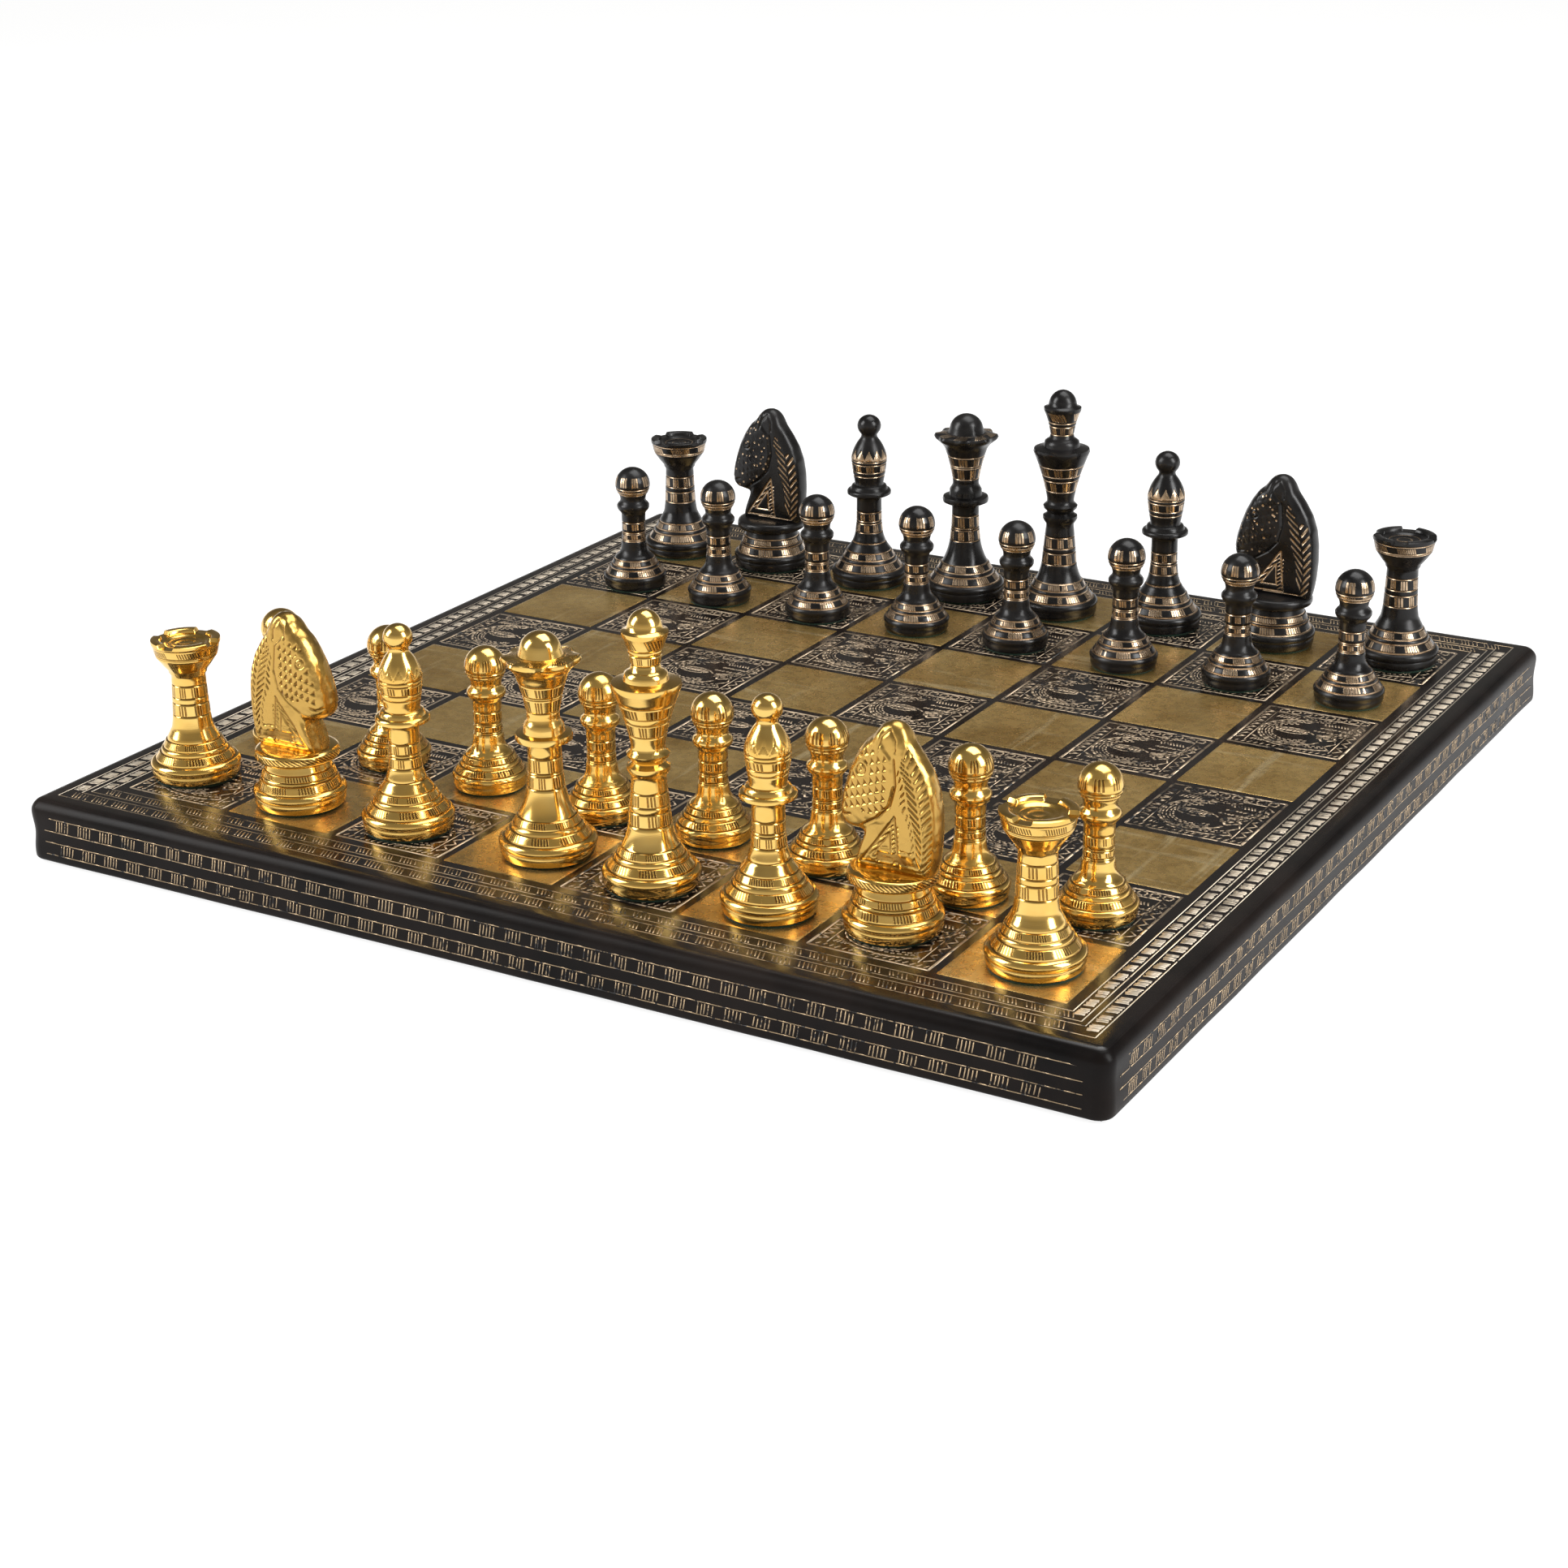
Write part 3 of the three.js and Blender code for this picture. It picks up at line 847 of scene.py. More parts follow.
MANES = {  # rows of strokes: width, step and lean, and how far in from the outline they run
    "gold": [(0.62, 1.7, 1.0, 0.9, 3.2), (0.62, 1.7, -1.0, 3.7, 6.0), (0.5, 1.7, 0.9, 6.6, 8.0)],
    "black": [(0.62, 2.3, -1.1, 3.7, 6.6), (0.62, 2.3, 1.1, 0.9, 3.2)],
}
SEAT_Z = 12.25  # where the head's plinth sits on the turned base


def segment_distance(at, start, end):
    """Distance of each point from a straight stroke, and how far along it the point lies."""
    start, end = np.array(start, float), np.array(end, float)
    way = end - start
    share = np.clip(((at - start) @ way) / (way @ way), 0, 1)
    return np.hypot(*(at - start - share[..., None] * way).T).T, share


def stroke(at, corners, half):
    """1 along a line through the corners, falling straight to 0 at half its width."""
    away = np.min([segment_distance(at, a, b)[0] for a, b in zip(corners, corners[1:])], axis=0)
    return np.clip(1 - away / half, 0, 1)


def punches(at, edge):
    """Small triangles, point up, in staggered rows 2.2 mm apart over the face, not the eye."""
    forward, high = at[..., 0], at[..., 1]
    row = (high * 0.94 + forward * 0.34) / PUNCH_ROW
    along = (forward * 0.94 - high * 0.34) / PUNCH_STEP + 0.5 * (np.floor(row) % 2)
    up, across = row % 1 - 0.35, along % 1 - 0.5
    tooth = np.clip(2.2 - 6 * np.abs(across) - 3.2 * up, 0, 1) * np.clip(6 * (up + 0.22), 0, 1)
    face = (forward > -0.6) & (edge > 1.6) & (high > 29.5) & (high < 44.5)
    face &= np.hypot(forward - EYE[0], high - EYE[1]) > 2.2
    face &= segment_distance(at, (3, 28.5), (9, 29))[0] > 1
    return np.where(face, tooth, 0)


def mane(at, edge, half, step, lean, near, far):
    """Slanting strokes along the back between two distances from the outline."""
    forward, high = at[..., 0], at[..., 1]
    behind = forward < HEAD_MIDDLE[0] - 0.25 * (high - HEAD_MIDDLE[1])
    inside = behind & (edge > near) & (edge < far) & (high > 16.4) & (high < 46)
    beat = (high + lean * edge) / step
    return np.where(inside, np.clip(1 - np.abs(2 * (beat % 1) - 1) / half, 0, 1), 0)


def chest(at):
    """A triangle on the neck with a hatched band along two of its sides."""
    forward, high = at[..., 0], at[..., 1]
    corner = (-3.6, 17.4)
    lines = stroke(at, [corner, (6.2, 17.4), (-2.4, 29.4), corner], 0.45)
    inner = [(-1.5, 19.3), (3.2, 19.3), (-1.1, 25.4), (-1.5, 19.3)]
    lines = np.maximum(lines, stroke(at, inner, 0.4))
    band = (forward > -3.5) & (forward < -1.7) & (high > 17.8) & (high < 27.8)
    slope = (17.4 + (6.2 - forward) * 12 / 8.6 - high) / 1.72
    band |= (slope > 0.2) & (slope < 1.4) & (high > 19.6) & (forward > -1.6)
    hatch = np.clip(1 - np.abs(2 * (((high + 0.7 * forward) / 1.15) % 1) - 1) / 0.6, 0, 1)
    return np.maximum(lines, np.where(band, hatch, 0))


def engraving(at, edge, side):
    """The engraver's lines on the side view, and the share of them that is bare of lacquer.
    at holds [forward, height], edge the distance from the outline. The gold side's mane is a
    fine herringbone; the black side's is a bold one, and its face has only faint dots."""
    forward, high = at[..., 0], at[..., 1]
    rows = [mane(at, edge, *row) for row in MANES[side]]
    if side == "black":
        rows[1] = rows[1] * (high < 38)
    hair = np.max(rows, axis=0)
    from_eye = np.hypot(forward - EYE[0], high - EYE[1])
    eye = np.clip(1 - np.abs(from_eye - 1.2) / 0.3, 0, 1)
    eye = np.maximum(eye, np.clip(1 - from_eye / 0.5, 0, 1))
    jaw = stroke(at, [(-1.8, 43), (-2.4, 37), (-1.2, 32), (1.6, 28.9), (5.2, 26.6)], 0.55)
    mouth = stroke(at, [(12.6, 28.6), (10.6, 27.9), (8.8, 28.4)], 0.45)
    ear = stroke(at, [(-2.2, 44.8), (-2.2, 47.4), (-0.6, 49.6), (1.2, 47.8), (1.8, 45.2)], 0.45)
    drawn = chest(at)
    teeth = punches(at, edge) * (1 if side == "gold" else 0.25)
    lines = np.max([hair, teeth, eye, jaw, mouth, ear, drawn], axis=0)
    return lines, np.maximum(hair, drawn)


def head_grid(side):
    """The plate about its own middle plane: forward, across and height, facing +X.

    At the share s of the way from the middle to the outline, half of the thickness is the
    neck's, less the taper, times the root of 1 - s^9: flat over most of it, and round at the
    edge. The cheek swells by a bell curve, and the lines sink it by up to 0.35 mm."""
    corner = np.array(HEAD_SIDE) - HEAD_MIDDLE
    heading = np.unwrap(np.arctan2(corner[:, 1], corner[:, 0]))
    angle = heading[0] + 2 * np.pi * np.arange(HEAD_ANGLES) / HEAD_ANGLES
    closed_heading = np.append(heading, heading[0] + 2 * np.pi)
    closed = np.vstack([corner, corner[:1]])
    x = np.interp(angle, closed_heading, closed[:, 0])
    z = np.interp(angle, closed_heading, closed[:, 1])
    bell = np.exp(-0.5 * (np.arange(-SOFTEN, SOFTEN + 1) / 2.2) ** 2)
    bell /= bell.sum()
    x, z = (
        np.convolve(np.concatenate([run[-SOFTEN:], run, run[:SOFTEN]]), bell, "valid")
        for run in (x, z)
    )
    share = 1 - 0.1 * np.cos(np.linspace(0.1, np.pi / 2, EDGE_RINGS))
    share = np.concatenate([np.linspace(0.02, 0.885, HEAD_RINGS - EDGE_RINGS), share])
    side_x, side_z = share[:, None] * x, share[:, None] * z
    at = np.stack([side_x, side_z], -1) + HEAD_MIDDLE
    edge = (1 - share)[:, None] * np.hypot(x, z)[None, :]
    cut, bare = (found * np.clip(edge / 0.6, 0, 1) for found in engraving(at, edge, side))
    taper = 1 - HEAD_TAPER * (at[..., 1] - HEAD_LOW) / HEAD_TALL
    half = HEAD_THICK / 2 * taper * np.sqrt(1 - np.minimum(share, 1)[:, None] ** 9)
    cheek = 0.45 * np.exp(-((at[..., 0] - 3.5) ** 2 + (at[..., 1] - 33) ** 2) / 22)
    neck = -0.4 * np.exp(-((at[..., 0] - 2) ** 2 + (at[..., 1] - 23) ** 2) / 14)
    jaw_line = np.interp(at[..., 1], [26, 29, 32, 37, 43, 46], [6.0, 1.6, -1.2, -2.4, -1.8, 1.0])
    raised = 0.45 * np.clip((at[..., 0] - jaw_line) / 0.8, 0, 1) * (at[..., 1] > 25.5)
    half = half + (cheek + neck + raised * np.clip(edge / 1.5, 0, 1)) * (half > 2) - 0.30 * cut
    face = np.stack([at[..., 0], half, at[..., 1]], -1)
    other = np.stack([at[..., 0], -half, at[..., 1]], -1)[-2::-1]
    grid = np.concatenate([face, other])
    thick = half[0].mean()
    poles = [[HEAD_MIDDLE[0], thick, HEAD_MIDDLE[1]], [HEAD_MIDDLE[0], -thick, HEAD_MIDDLE[1]]]
    numbers = {"cut": cut, "bare": bare, "cast": np.ones(cut.shape), "speck": raised / 0.45}
    numbers = {label: np.concatenate([values, values[-2::-1]]).ravel()
               for label, values in numbers.items()}
    return {
        "points": np.concatenate([grid.reshape(-1, 3), poles]), "rings": len(grid),
        "columns": HEAD_ANGLES,
        "numbers": {label: np.append(values, values[[0, -1]]) for label, values in numbers.items()},
    }


PLINTH = [
    [0, 12.3], [9.1, 12.3], [9.6, 12.5], [10.6, 13.1], [10.8, 13.6], [10.7, 15.0], [10.3, 15.5],
    [9.0, 15.9], [0, 16.2],
]
KNIGHT_FOOT = [
    [0, 0.6], [11.2, 0.6], [11.5, 0.85], [11.7, 2.7], [11.4, 2.95], [11.45, 3.15], [11.85, 3.4],
    [12.0, 4.0], [11.8, 4.7], [11.2, 5.3], [10.6, 5.6], [9.85, 7.6], [9.6, 7.8], [9.55, 8.4],
    [9.5, 8.6], [8.9, 10.25], [8.6, 10.5], [8.3, 11.1], [8.2, 12.1], [7.9, 12.25], [0, 12.25],
]


def turned_part(stations, count, rings, bands, columns):
    """A short turned piece with its rings and tallies, as a grid."""
    reach, rise, out_r, out_z = outline(stations, count, line_heights(rings, bands))
    cut = np.max([ring_cut(rise, at) for at in rings] + [0 * rise], axis=0)
    outward = np.clip(out_r * 4, 0, 1)
    beat, group, share = tallies(rise, columns, bands)
    cut = (cut * outward)[:, None] + np.zeros((1, columns))
    wide = reach[:, None] - RING_DEEP * cut * out_r[:, None]
    high = rise[:, None] - RING_DEEP * cut * out_z[:, None]
    return ring_grid(wide, high, {"cut": cut, "bare": cut}, beat, group, share * outward)


test = head_grid("gold")
print("knight's head:", test["rings"], "rings of", HEAD_ANGLES)

# %% [markdown]
# ## Setting up the men
# Each man is built once per place, with his own seed for where his tally groups start, and is
# turned by a few degrees, because nobody lines up tallies by hand. He stands for his CAD node
# and rides on his own body. His felt pad is a thin disc with a soft edge.

# %% Men and pads
ORDER = ["rook", "knight", "bishop", "queen", "king", "bishop", "knight", "rook"]
PAD = [[0, 0.04], [1.0, 0.04], [1.012, 0.3], [1.0, 0.56], [0, 0.56]]
PAD_R = 11.0
PAWN_PAD_R = 9.1


def turned_about(points, degrees):
    """Points turned about the Z axis."""
    c, s = math.cos(math.radians(degrees)), math.sin(math.radians(degrees))
    return points @ np.array([[c, s, 0], [-s, c, 0], [0, 0, 1]])


def solid(name, grids, place, finish, body, stands_for):
    """One smooth piece of closed grids, set down at place with all its numbers."""
    points, quads, triangles, numbers, beats = joined(grids)
    made = piece(
        name, points + place, quads, triangles, finish, body, stands_for, numbers, beats
    )
    return smooth(made)


def set_man(side, kind, file, seed):
    """Builds one man with his pad on the spot where the CAD man stands."""
    name = f"{side}_{kind}_{FILES[file]}"
    finish, slot = (brass, "polished_brass") if side == "gold" else (lacquer, "black_lacquer")
    turn = np.random.default_rng(seed).uniform(0, 360)
    if kind == "knight":
        place = spot(f"{name}_base")
        bands = [(5.75, 7.5, 84, 10, 0.3, file), (8.75, 10.1, 84, 14, 0.3, 3 + file)]
        base = turned_part(KNIGHT_FOOT, 44, [5.55, 7.75, 8.5, 10.4], bands, 128)
        base["points"] = turned_about(base["points"], turn)
        solid(f"{name}_turned", [base], place, finish, name, [f"{name}_base"])
        bands = [(13.6, 15.2, 56, 1, 2.0, 0)] if side == "gold" else []
        head = [head_grid(side), turned_part(PLINTH, 26, [], bands, 128)]
        facing = 0 if side == "gold" and file == 1 else 180
        for part in head:
            part["points"] = turned_about(part["points"], facing)
        solid(f"{name}_cast", head, place, finish, name, [f"{name}_head"])
    else:
        place = spot(name)
        man = man_grid(kind, seed)
        man["points"] = turned_about(man["points"], turn)
        solid(f"{name}_turned", [man], place, finish, name, [name])
    radius = PAWN_PAD_R if kind == "pawn" else PAD_R
    pad = turned_part([[reach * radius, rise] for reach, rise in PAD], 16, [], [], 96)
    stands_for = [] if kind == "pawn" else [f"{name}_pad"]
    solid(f"{name}_felt", [pad], place, men_felt, name, stands_for)


for side_number, side in enumerate(("gold", "black")):
    for file, kind in enumerate(ORDER):
        set_man(side, kind, file, 100 * side_number + file)
        set_man(side, "pawn", file, 100 * side_number + 10 + file)
print(len(made_faces), "pieces,", sum(made_faces.values()), "triangles so far")

# %% [markdown]
# ## Finishes of the board
# The board is covered in black leatherette with a low gloss, and its pattern is gold foil
# pressed in with a hot die. The foil squares are dull and olive, with fine scratches, cracks
# and stains. The thin lines are paler, and the die has missed them here and there, so that the
# leatherette shows through. The missing places are mottling again, cut off sharply.

# %% Leatherette and foil
LEATHER = (0.0035, 0.003, 0.003)
LEATHER_PALE = (0.013, 0.009, 0.0075)
OLIVE = (0.78, 0.54, 0.205)
OLIVE_DEEP = (0.46, 0.28, 0.080)
OLIVE_BRIGHT = (0.92, 0.72, 0.38)
OLIVE_DARK = (0.16, 0.10, 0.045)
LINE_GOLD = (0.72, 0.56, 0.39)
RULE_GOLD = (0.56, 0.41, 0.25)
BLOCK_GOLD = (0.88, 0.76, 0.60)


def leatherette():
    """Black covering, paler where it is rubbed: polished on top, dull on the sides, which the
    height decides."""
    made, tree, shader, coords = blank("black_leatherette")
    rubbed = placed(tree, mottle, coords, Scale=35, Detail=6)
    height = (add(tree, "SeparateXYZ", Vector=coords), "Z")
    brim = (TOP_Z - 0.5) * MM, TOP_Z * MM
    dull = ramp(tree, height, *brim, 0.30, 0.13)
    fill(
        tree, shader, Base_Color=blend(tree, LEATHER, LEATHER_PALE, rubbed),
        Specular_IOR_Level=ramp(tree, height, *brim, 0.09, 0.60),
        Roughness=maths(tree, "MULTIPLY_ADD", rubbed, 0.10, dull),
    )
    bumped(tree, shader, placed(tree, grain, coords, Scale=1500), 0.05, 0.0001)
    return made


def square_foil():
    """Olive foil: a soft mirror, stained, specked, scratched both ways and finely cracked."""
    made, tree, shader, coords = blank("square_foil")
    stains = placed(tree, mottle, coords, Scale=42, Detail=9)
    fine = placed(tree, mottle, coords, Scale=420, Detail=7)
    across = placed(tree, scratch, coords, Scale=120, Stretch=0.10)
    along = placed(tree, scratch, coords, Scale=13, Stretch=12)
    both = maths(tree, "MAXIMUM", across, along)
    stained = blend(tree, OLIVE, OLIVE_DEEP, stains)
    marked = blend(tree, stained, OLIVE_BRIGHT, ramp(tree, both, 0, 1, 0, 0.75))
    fill(
        tree, shader, Metallic=0.85, Roughness=ramp(tree, fine, 0, 1, 0.20, 0.36),
        Base_Color=blend(tree, marked, OLIVE_DARK, ramp(tree, fine, 0.84, 1, 0, 0.4)),
    )
    bumped(tree, shader, maths(tree, "MULTIPLY_ADD", both, 0.8, fine), 0.20)
    return made


def line_foil(name, gold, wear):
    """Foil of lines and strokes, missing in small patches where leatherette shows: the more
    wear, the more of them."""
    made, tree, shader, coords = blank(name)
    gaps = placed(tree, mottle, coords, Scale=420, Detail=5)
    tone = placed(tree, mottle, coords, Scale=60, Detail=3)
    worn = placed(tree, mottle, coords, Scale=14, Detail=3)
    missing = ramp(tree, maths(tree, "MULTIPLY_ADD", worn, wear, gaps), 0.86, 1.02)
    metal = blend(tree, gold, tuple(0.6 * part for part in gold), tone)
    fill(
        tree, shader, Base_Color=blend(tree, metal, LEATHER, missing), Roughness=0.36,
        Metallic=ramp(tree, missing, 0, 1, 0.85, 0),
    )
    bumped(tree, shader, gaps, 0.15)
    return made


cover_finish = leatherette()
foil = square_foil()
pale_foil = line_foil("ornament_foil", LINE_GOLD, 0.42)
bright_foil = line_foil("file_border_foil", BLOCK_GOLD, 0.12)
rule_foil = line_foil("border_foil", RULE_GOLD, 0.50)
fibre_board = fibres("fibre_board", (0.30, 0.20, 0.11), (0.46, 0.34, 0.21), 700, 0.8, 0.4)
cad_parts["board_core"].material_slots[0].material = fibre_board
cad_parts["base_lining"].material_slots[0].material = lining_felt
print("finishes:", len(bpy.data.materials))

# %% [markdown]
# ## The covering
# One skin goes over the top, over rounded edges and down the sides, and is turned in below.
# Its section is a list of [inset from the edge, height], and each point of it is carried round
# a square with rounded corners. By hand the skin never lies quite flat on the sides, so a slow
# wave pushes the sides in and out by a fraction of a millimetre, and the corners have a fold.

# %% Covering
SKIN = 0.75
EDGE_R = 3.5
CORNER_R = 4.0
HEM = 14.0
SIDE_STEPS = 34  # points along each straight side
CORNER_STEPS = 8


def square_ring(half, radius):
    """A square with rounded corners in plan, anticlockwise from the middle of no side."""
    arc = np.radians(np.linspace(0, 90, CORNER_STEPS))
    parts = []
    for quarter in range(4):
        turn = math.radians(90 * quarter)
        x = half - radius + radius * np.cos(arc)
        y = half - radius + radius * np.sin(arc)
        run = np.linspace(half - radius, radius - half, SIDE_STEPS + 2)[1:-1]
        x = np.concatenate([x, run])
        y = np.concatenate([y, np.full(SIDE_STEPS, half)])
        parts.append(np.stack([x * math.cos(turn) - y * math.sin(turn),
                               x * math.sin(turn) + y * math.cos(turn)], -1))
    return np.concatenate(parts)


def swept_square(section, half, corner):
    """Carries [inset, height] points round the square: points, rings, columns, two poles."""
    rings = []
    for inset, high in section:
        flat = square_ring(half - inset, max(corner - inset, 0.4))
        rings.append(np.column_stack([flat, np.full(len(flat), high)]))
    poles = [[0, 0, section[0][1]], [0, 0, section[-1][1]]]
    return np.concatenate(rings + [poles]), len(section), len(rings[0])


def hand_laid(points):
    """Pushes points near the sides along X and Y: sin waves of 47 and 29 mm, up to 0.12 mm,
    and a fold of 0.35 mm at each corner that swells at two heights."""
    x, y, z = points.T
    moved = points.copy()
    for along, across, column in ((y, x, 0), (x, y, 1)):
        near = np.clip((np.abs(across) - (BOARD_HALF - 3)) / 3, 0, 1)
        wave = np.sin(along / 7.5 + column) + 0.6 * np.sin(along / 4.6 + 0.35 * z)
        fold = np.exp(-(((BOARD_HALF - np.abs(along)) / 4.5) ** 2))
        swell = 0.30 * np.cos(2 * np.pi * (z - 3) / 11)
        moved[:, column] += np.sign(across) * near * (0.06 * wave * (1 - fold) + fold * swell)
    return moved


arc = np.radians(np.linspace(0, 90, 10))
section = [[BOARD_HALF - 4, TOP_Z - SKIN], [EDGE_R, TOP_Z - SKIN], [SKIN, TOP_Z - EDGE_R]]
section += [[SKIN, UNDER_Z + SKIN], [HEM, UNDER_Z + SKIN], [HEM, UNDER_Z], [3, UNDER_Z]]
section += [[1 - math.sin(a), UNDER_Z + 1 - math.cos(a)] for a in arc[::2]]
section += [[0, high] for high in np.linspace(UNDER_Z + 2, TOP_Z - EDGE_R, 12)]
section += [[EDGE_R * (1 - math.cos(a)), TOP_Z - EDGE_R * (1 - math.sin(a))] for a in arc[1:]]
section += [[EDGE_R + 2, TOP_Z], [20, TOP_Z], [80, TOP_Z], [BOARD_HALF - 4, TOP_Z]]
points, rings, columns = swept_square(section, BOARD_HALF, CORNER_R)
cover = piece(
    "board_covering", hand_laid(points), ring_faces(rings, columns), cap_faces(rings, columns),
    cover_finish, "board", ["board_cover"],
)
smooth(cover)
print("covering:", rings, "rings of", columns)

# %% [markdown]
# ## Foil squares
# Thirty-two squares of foil, each a very thin patch whose edges are not quite straight. They
# leave the black lines between the squares free. The corner at the gold side's left is dark.

# %% Foil squares
SQUARE_HALF = PITCH / 2 - 0.95
FOIL_LIFT = 0.03
FOIL_SINK = 0.05


def square_middles(light):
    """Plan positions of the light or the dark squares."""
    file, rank = np.meshgrid(np.arange(8), np.arange(8), indexing="ij")
    chosen = (file + rank) % 2 == (1 if light else 0)
    return np.stack([(file[chosen] - 3.5) * PITCH, (rank[chosen] - 3.5) * PITCH], -1)


patch_section = [
    [SQUARE_HALF - 1, -FOIL_SINK], [0.02, -FOIL_SINK], [0, 0], [0.06, FOIL_LIFT],
    [0.8, FOIL_LIFT], [SQUARE_HALF - 1, FOIL_LIFT],
]
patch, rings, columns = swept_square(patch_section, SQUARE_HALF, 0.5)
rng = np.random.default_rng(7)
parts = []
for number, (x, y) in enumerate(square_middles(light=True)):
    shift = rng.uniform(-0.12, 0.12, 3)
    ripple = 1 + 0.003 * np.sin(patch[:, :2] * 1.7 + shift[0] * 40)
    flat = patch[:, :2] * ripple + [x + shift[1], y + shift[2]]
    placed_patch = np.column_stack([flat, TOP_Z + patch[:, 2]])
    parts.append({"points": placed_patch, "rings": rings, "columns": columns})
points, quads, triangles, *_ = joined(parts)
smooth(piece("foil_squares", points, quads, triangles, foil, "board"))
print("foil squares:", len(parts))

# %% [markdown]
# ## Lines and strokes
# Everything else in the foil is lines, so one function makes a swarm of flat bars from their
# ends. The ornament of a dark square is a handful of simple figures: a frame, a row of long
# cells, a zigzag, two arcs, a leaf, a ring, a kite and rows of dashes. It is drawn once from
# -1 to 1 and set on every dark square.

# %% Bars and the ornament of a dark square
BAR_FACES = np.array([
    [0, 1, 2, 3], [4, 7, 6, 5], [0, 3, 7, 4], [3, 2, 6, 7], [2, 1, 5, 6], [1, 0, 4, 5],
])


def bars(starts, ends, width, out, lift=FOIL_LIFT, sink=FOIL_SINK):
    """A closed flat bar from each start to its end on a face whose outward direction is out:
    points and quads."""
    starts, ends = np.asarray(starts, float), np.asarray(ends, float)
    out = np.array(out, float)
    way = ends - starts
    way /= np.linalg.norm(way, axis=1)[:, None]
    side = np.cross(out, way) * (np.asarray(width, float) / 2).reshape(-1, 1)
    flat = [starts - side, starts + side, ends + side, ends - side]
    corners = [corner - sink * out for corner in flat] + [corner + lift * out for corner in flat]
    points = np.stack(corners, 1).reshape(-1, 3)
    quads = BAR_FACES[None] + 8 * np.arange(len(starts))[:, None, None]
    return points, quads.reshape(-1, 4)


def chain(corners, closed=False):
    """The strokes that join a list of corners, each as [start, end]."""
    corners = np.array(corners, float)
    after = np.roll(corners, -1, axis=0)
    strokes = np.stack([corners, after], 1)
    return strokes if closed else strokes[:-1]


def arc_of(x, y, radius, start, end, count):
    """Corners on a circle from one angle to another, in degrees."""
    a = np.radians(np.linspace(start, end, count))
    return np.stack([x + radius * np.cos(a), y + radius * np.sin(a)], -1)


def slanting(x0, x1, y0, y1, count, lean):
    """A row of short parallel strokes between two heights."""
    x = np.linspace(x0, x1, count)
    low = np.stack([x, np.full(count, y0)], -1)
    high = np.stack([x + lean, np.full(count, y1)], -1)
    return np.stack([low, high], 1)


def feathered(x, y, radii, start, end, count, length):
    """Rows of short dashes along arcs about a point, each row shifted by half a dash."""
    rows = []
    for row, radius in enumerate(radii):
        a = np.radians(np.linspace(start, end, count) + 0.5 * (row % 2) * (end - start) / count)
        low = np.stack([x + radius * np.cos(a), y + radius * np.sin(a)], -1)
        high = np.stack([x + radius * np.cos(a + length), y + radius * np.sin(a + length)], -1)
        rows.append(np.stack([low, high], 1))
    return np.concatenate(rows)


def ornament():
    """The strokes of one dark square, from -1 to 1 both ways, with their widths."""
    thin, middling, bold = 0.30, 0.44, 0.68
    half = [[-0.08, 0], [-0.05, 0.07], [0.05, 0.07]]
    cell = np.array(half + [[-x, -y] for x, y in half])
    cells = [chain(cell + [x, 0.86], closed=True) for x in np.linspace(-0.66, 0.80, 8)]
    ladder = []
    for y in np.linspace(-0.72, 0.66, 9):
        ladder.append(chain([[-0.94, y], [-0.80, y + 0.07], [-0.94, y + 0.11]]))
    zigzag = [[0.79 + 0.13 * (k % 2), -0.74 + 0.117 * k] for k in range(13)]
    leaf = np.concatenate([
        arc_of(-0.20, -0.52, 0.62, 48, 112, 7), arc_of(-0.20, 0.34, 0.50, 232, 308, 7),
    ])
    figures = [
        (chain([[-0.98, -0.98], [0.98, -0.98], [0.98, 0.98], [-0.98, 0.98]], closed=True), bold),
        (chain([[-0.76, 0.74], [0.74, 0.74]]), middling),
        (chain([[-0.76, 0.74], [-0.76, -0.80]]), thin),
        (np.concatenate(cells), middling),
        (np.concatenate(ladder), middling),
        (chain(zigzag), middling),
        (chain([[0.74, -0.80], [0.74, 0.74]]), thin),
        (slanting(-0.88, 0.88, -0.92, -0.84, 17, 0.05), middling),
        (chain(arc_of(-0.12, -0.08, 0.62, 80, 330, 18)), bold),
        (chain(arc_of(-0.12, -0.08, 0.51, 95, 310, 14)), thin),
        (feathered(-0.12, -0.08, [0.565, 0.45, 0.40], 100, 300, 15, 0.16), middling),
        (chain(leaf), middling),
        (slanting(-0.42, 0.02, -0.08, 0.06, 8, 0.05), bold),
        (chain(arc_of(-0.10, 0.52, 0.085, 0, 360, 8)), middling),
        (feathered(0.10, 0.55, [0.62, 0.70, 0.78], 285, 350, 8, 0.13), middling),
        (feathered(0.05, 0.98, [0.42, 0.34], 205, 320, 9, 0.16), thin),
        (slanting(0.20, 0.66, 0.30, 0.33, 7, 0.06), bold),
        (slanting(0.14, 0.66, 0.12, 0.15, 8, 0.05), bold),
        (slanting(0.24, 0.64, 0.46, 0.56, 8, -0.04), middling),
        (chain([[0.28, -0.10], [0.50, 0.04], [0.64, -0.16], [0.44, -0.30]], closed=True), bold),
        (chain(arc_of(0.46, -0.13, 0.05, 0, 360, 7)), middling),
        (chain([[0.62, -0.16], [0.70, -0.36], [0.56, -0.52], [0.70, -0.70]]), middling),
        (chain(arc_of(0.10, 0.55, 1.36, 232, 296, 14)), bold),
        (feathered(0.10, 0.55, [1.25, 1.18], 240, 290, 12, 0.05), middling),
        (slanting(-0.68, -0.36, 0.50, 0.66, 6, 0.06), middling),
        (slanting(-0.68, -0.50, -0.74, -0.62, 4, 0.05), middling),
    ]
    strokes = np.concatenate([made for made, _ in figures])
    widths = np.concatenate([np.full(len(made), width) for made, width in figures])
    long_enough = np.linalg.norm(strokes[:, 1] - strokes[:, 0], axis=1) > 0.004
    return strokes[long_enough], widths[long_enough]


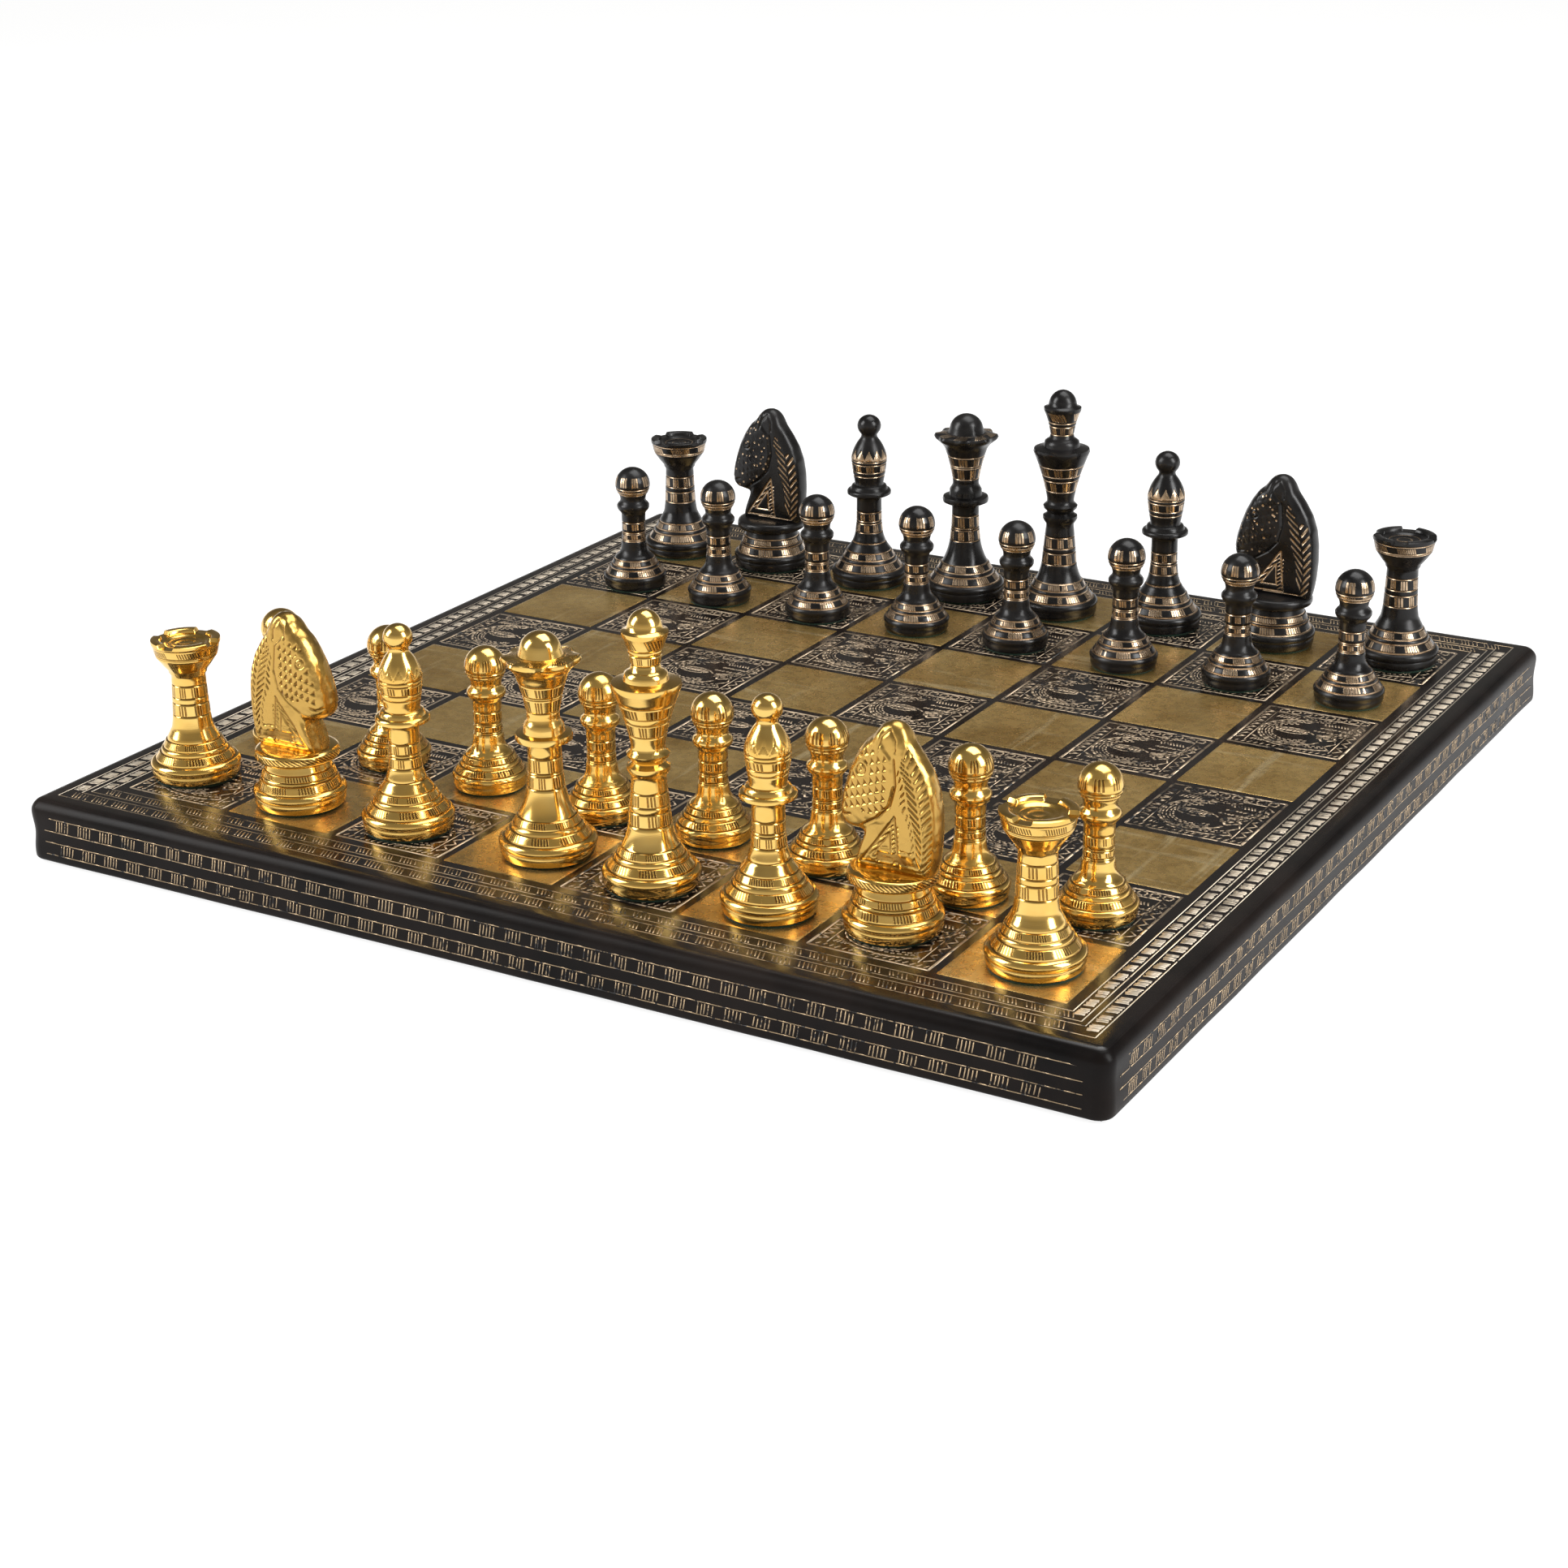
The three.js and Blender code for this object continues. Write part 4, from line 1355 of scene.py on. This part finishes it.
drawn, widths = ornament()
middles = square_middles(light=False)
placed_strokes = drawn[None] * (SQUARE_HALF - 0.2) + middles[:, None, None, :]
flat = placed_strokes.reshape(-1, 2, 2)
flat = flat + np.random.default_rng(11).normal(0, 0.07, flat.shape)
high = np.full((len(flat), 1), TOP_Z)
low_ends, high_ends = (np.hstack([flat[:, end], high]) for end in (0, 1))
every_width = np.tile(widths, len(middles))
swarm("square_ornaments", [bars(low_ends, high_ends, every_width, (0, 0, 1))], pale_foil)
print("ornament:", len(drawn), "strokes on", len(middles), "squares")

# %% [markdown]
# ## Borders
# Two strips of tally strokes, each between a pair of rules, run round the playing field.
# Strokes come in fives, hand-cut on the die, so each is a little off. Each side is a run of
# strokes turned by a quarter. Before the ranks they are thin and worn, and beside the files
# they are bold and bright.

# %% Borders on the top
RULES = [136.8, 140.5, 142.2, 146.4]  # distance of each rule from the board's middle
RULE_W = 0.28
TOP_STRIPS = [(137.5, 139.8), (142.9, 145.7)]


def quarter_turned(ends, quarter):
    """Points turned about Z by so many quarters."""
    c, s = round(math.cos(math.pi / 2 * quarter)), round(math.sin(math.pi / 2 * quarter))
    return ends @ np.array([[c, s, 0], [-s, c, 0], [0, 0, 1]])


def tally_run(low, high, reach, step, group, lean, rng):
    """Groups of five strokes from -reach to reach: [start, end] pairs of [along, across]. A
    group is so wide, and the next one starts a step on."""
    firsts = np.arange(-reach, reach - group, step) + rng.uniform(0, 1)
    firsts = firsts[firsts < reach - group]
    along = (firsts[:, None] + np.linspace(0, group, 5)[None, :]).ravel()
    along = along + rng.normal(0, 0.07, len(along))
    start = np.stack([along, low + rng.normal(0, 0.12, len(along))], -1)
    end = np.stack([along + lean, high + rng.normal(0, 0.12, len(along))], -1)
    return np.stack([start, end], 1)


rng = np.random.default_rng(23)
for label, quarters, finish, width, run_shape in (
    ("rank_borders", (0, 2), rule_foil, 0.28, (6.75, 4.2, 1.1)),
    ("file_borders", (1, 3), bright_foil, 0.60, (5.1, 2.9, 0.5)),
):
    runs = []
    for quarter in quarters:
        lines = [(np.array([[[-rule, -rule], [rule, -rule]]]), RULE_W) for rule in RULES]
        for low, high in TOP_STRIPS:
            lines.append((tally_run(low, high, high - 2, *run_shape, rng) * [1, -1], width))
        for strokes, wide in lines:
            ends = np.concatenate([strokes, np.full((*strokes.shape[:2], 1), TOP_Z)], -1)
            ends = quarter_turned(ends, quarter)
            runs.append(bars(ends[:, 0], ends[:, 1], wide, (0, 0, 1)))
    swarm(label, runs, finish)

# %% [markdown]
# The same strips run twice round the sides of the board. They are glued to the covering, so
# they follow its waves and folds, and their rules are chains of short bars.

# %% Strips on the four sides
SIDE_STRIPS = [(3.6, 6.2), (10.0, 12.8)]  # heights
SIDE_REACH = BOARD_HALF - 6
RULE_POINTS = 60

runs = []
for quarter in range(4):
    out = quarter_turned(np.array([[0, -1.0, 0]]), quarter)[0]
    lines = []
    for low, high in SIDE_STRIPS:
        along = np.linspace(-SIDE_REACH, SIDE_REACH, RULE_POINTS)
        for rule in (low - 0.35, high + 0.35):
            lines.append((chain(np.stack([along, np.full(RULE_POINTS, rule)], -1)), 0.22))
        lines.append((tally_run(low, high, SIDE_REACH - 4, 7.4, 3.9, 0.5, rng), 0.27))
    for strokes, wide in lines:
        face = np.full(strokes.shape[:2], -BOARD_HALF)
        ends = quarter_turned(np.stack([strokes[..., 0], face, strokes[..., 1]], -1), quarter)
        points, quads = bars(ends[:, 0], ends[:, 1], wide, out, 0.04, 0.06)
        runs.append((hand_laid(points), quads))
swarm("side_strips", runs, rule_foil)

# %% [markdown]
# ## Floor
# A plain pale sheet, large enough to reach past the view. It glows a little, as paper lit from
# all round does, so that it stays white next to the dark board.

# %% Floor
FLOOR_HALF = 8.0
floor_mesh = bpy.data.meshes.new("floor")
corners = [(-1, -1), (1, -1), (1, 1), (-1, 1)]
floor_mesh.from_pydata([(x * FLOOR_HALF, y * FLOOR_HALF, 0) for x, y in corners], [], [(0, 1, 2, 3)])
floor = put("floor", floor_mesh)
sheet, tree, shader, coords = blank("pale_sheet")
cloud = placed(tree, mottle, coords, Scale=3, Detail=2)
fill(
    tree, shader, Base_Color=blend(tree, (0.25, 0.25, 0.25), (0.235, 0.235, 0.24), cloud),
    Roughness=0.9, Emission_Color=(1, 1, 1), Emission_Strength=0.88,
)
floor_mesh.materials.append(sheet)
print("floor", 2 * FLOOR_HALF, "m wide")

# %% Sizes, and the end
print(len(made_faces), "pieces,", sum(made_faces.values()), "triangles in all")
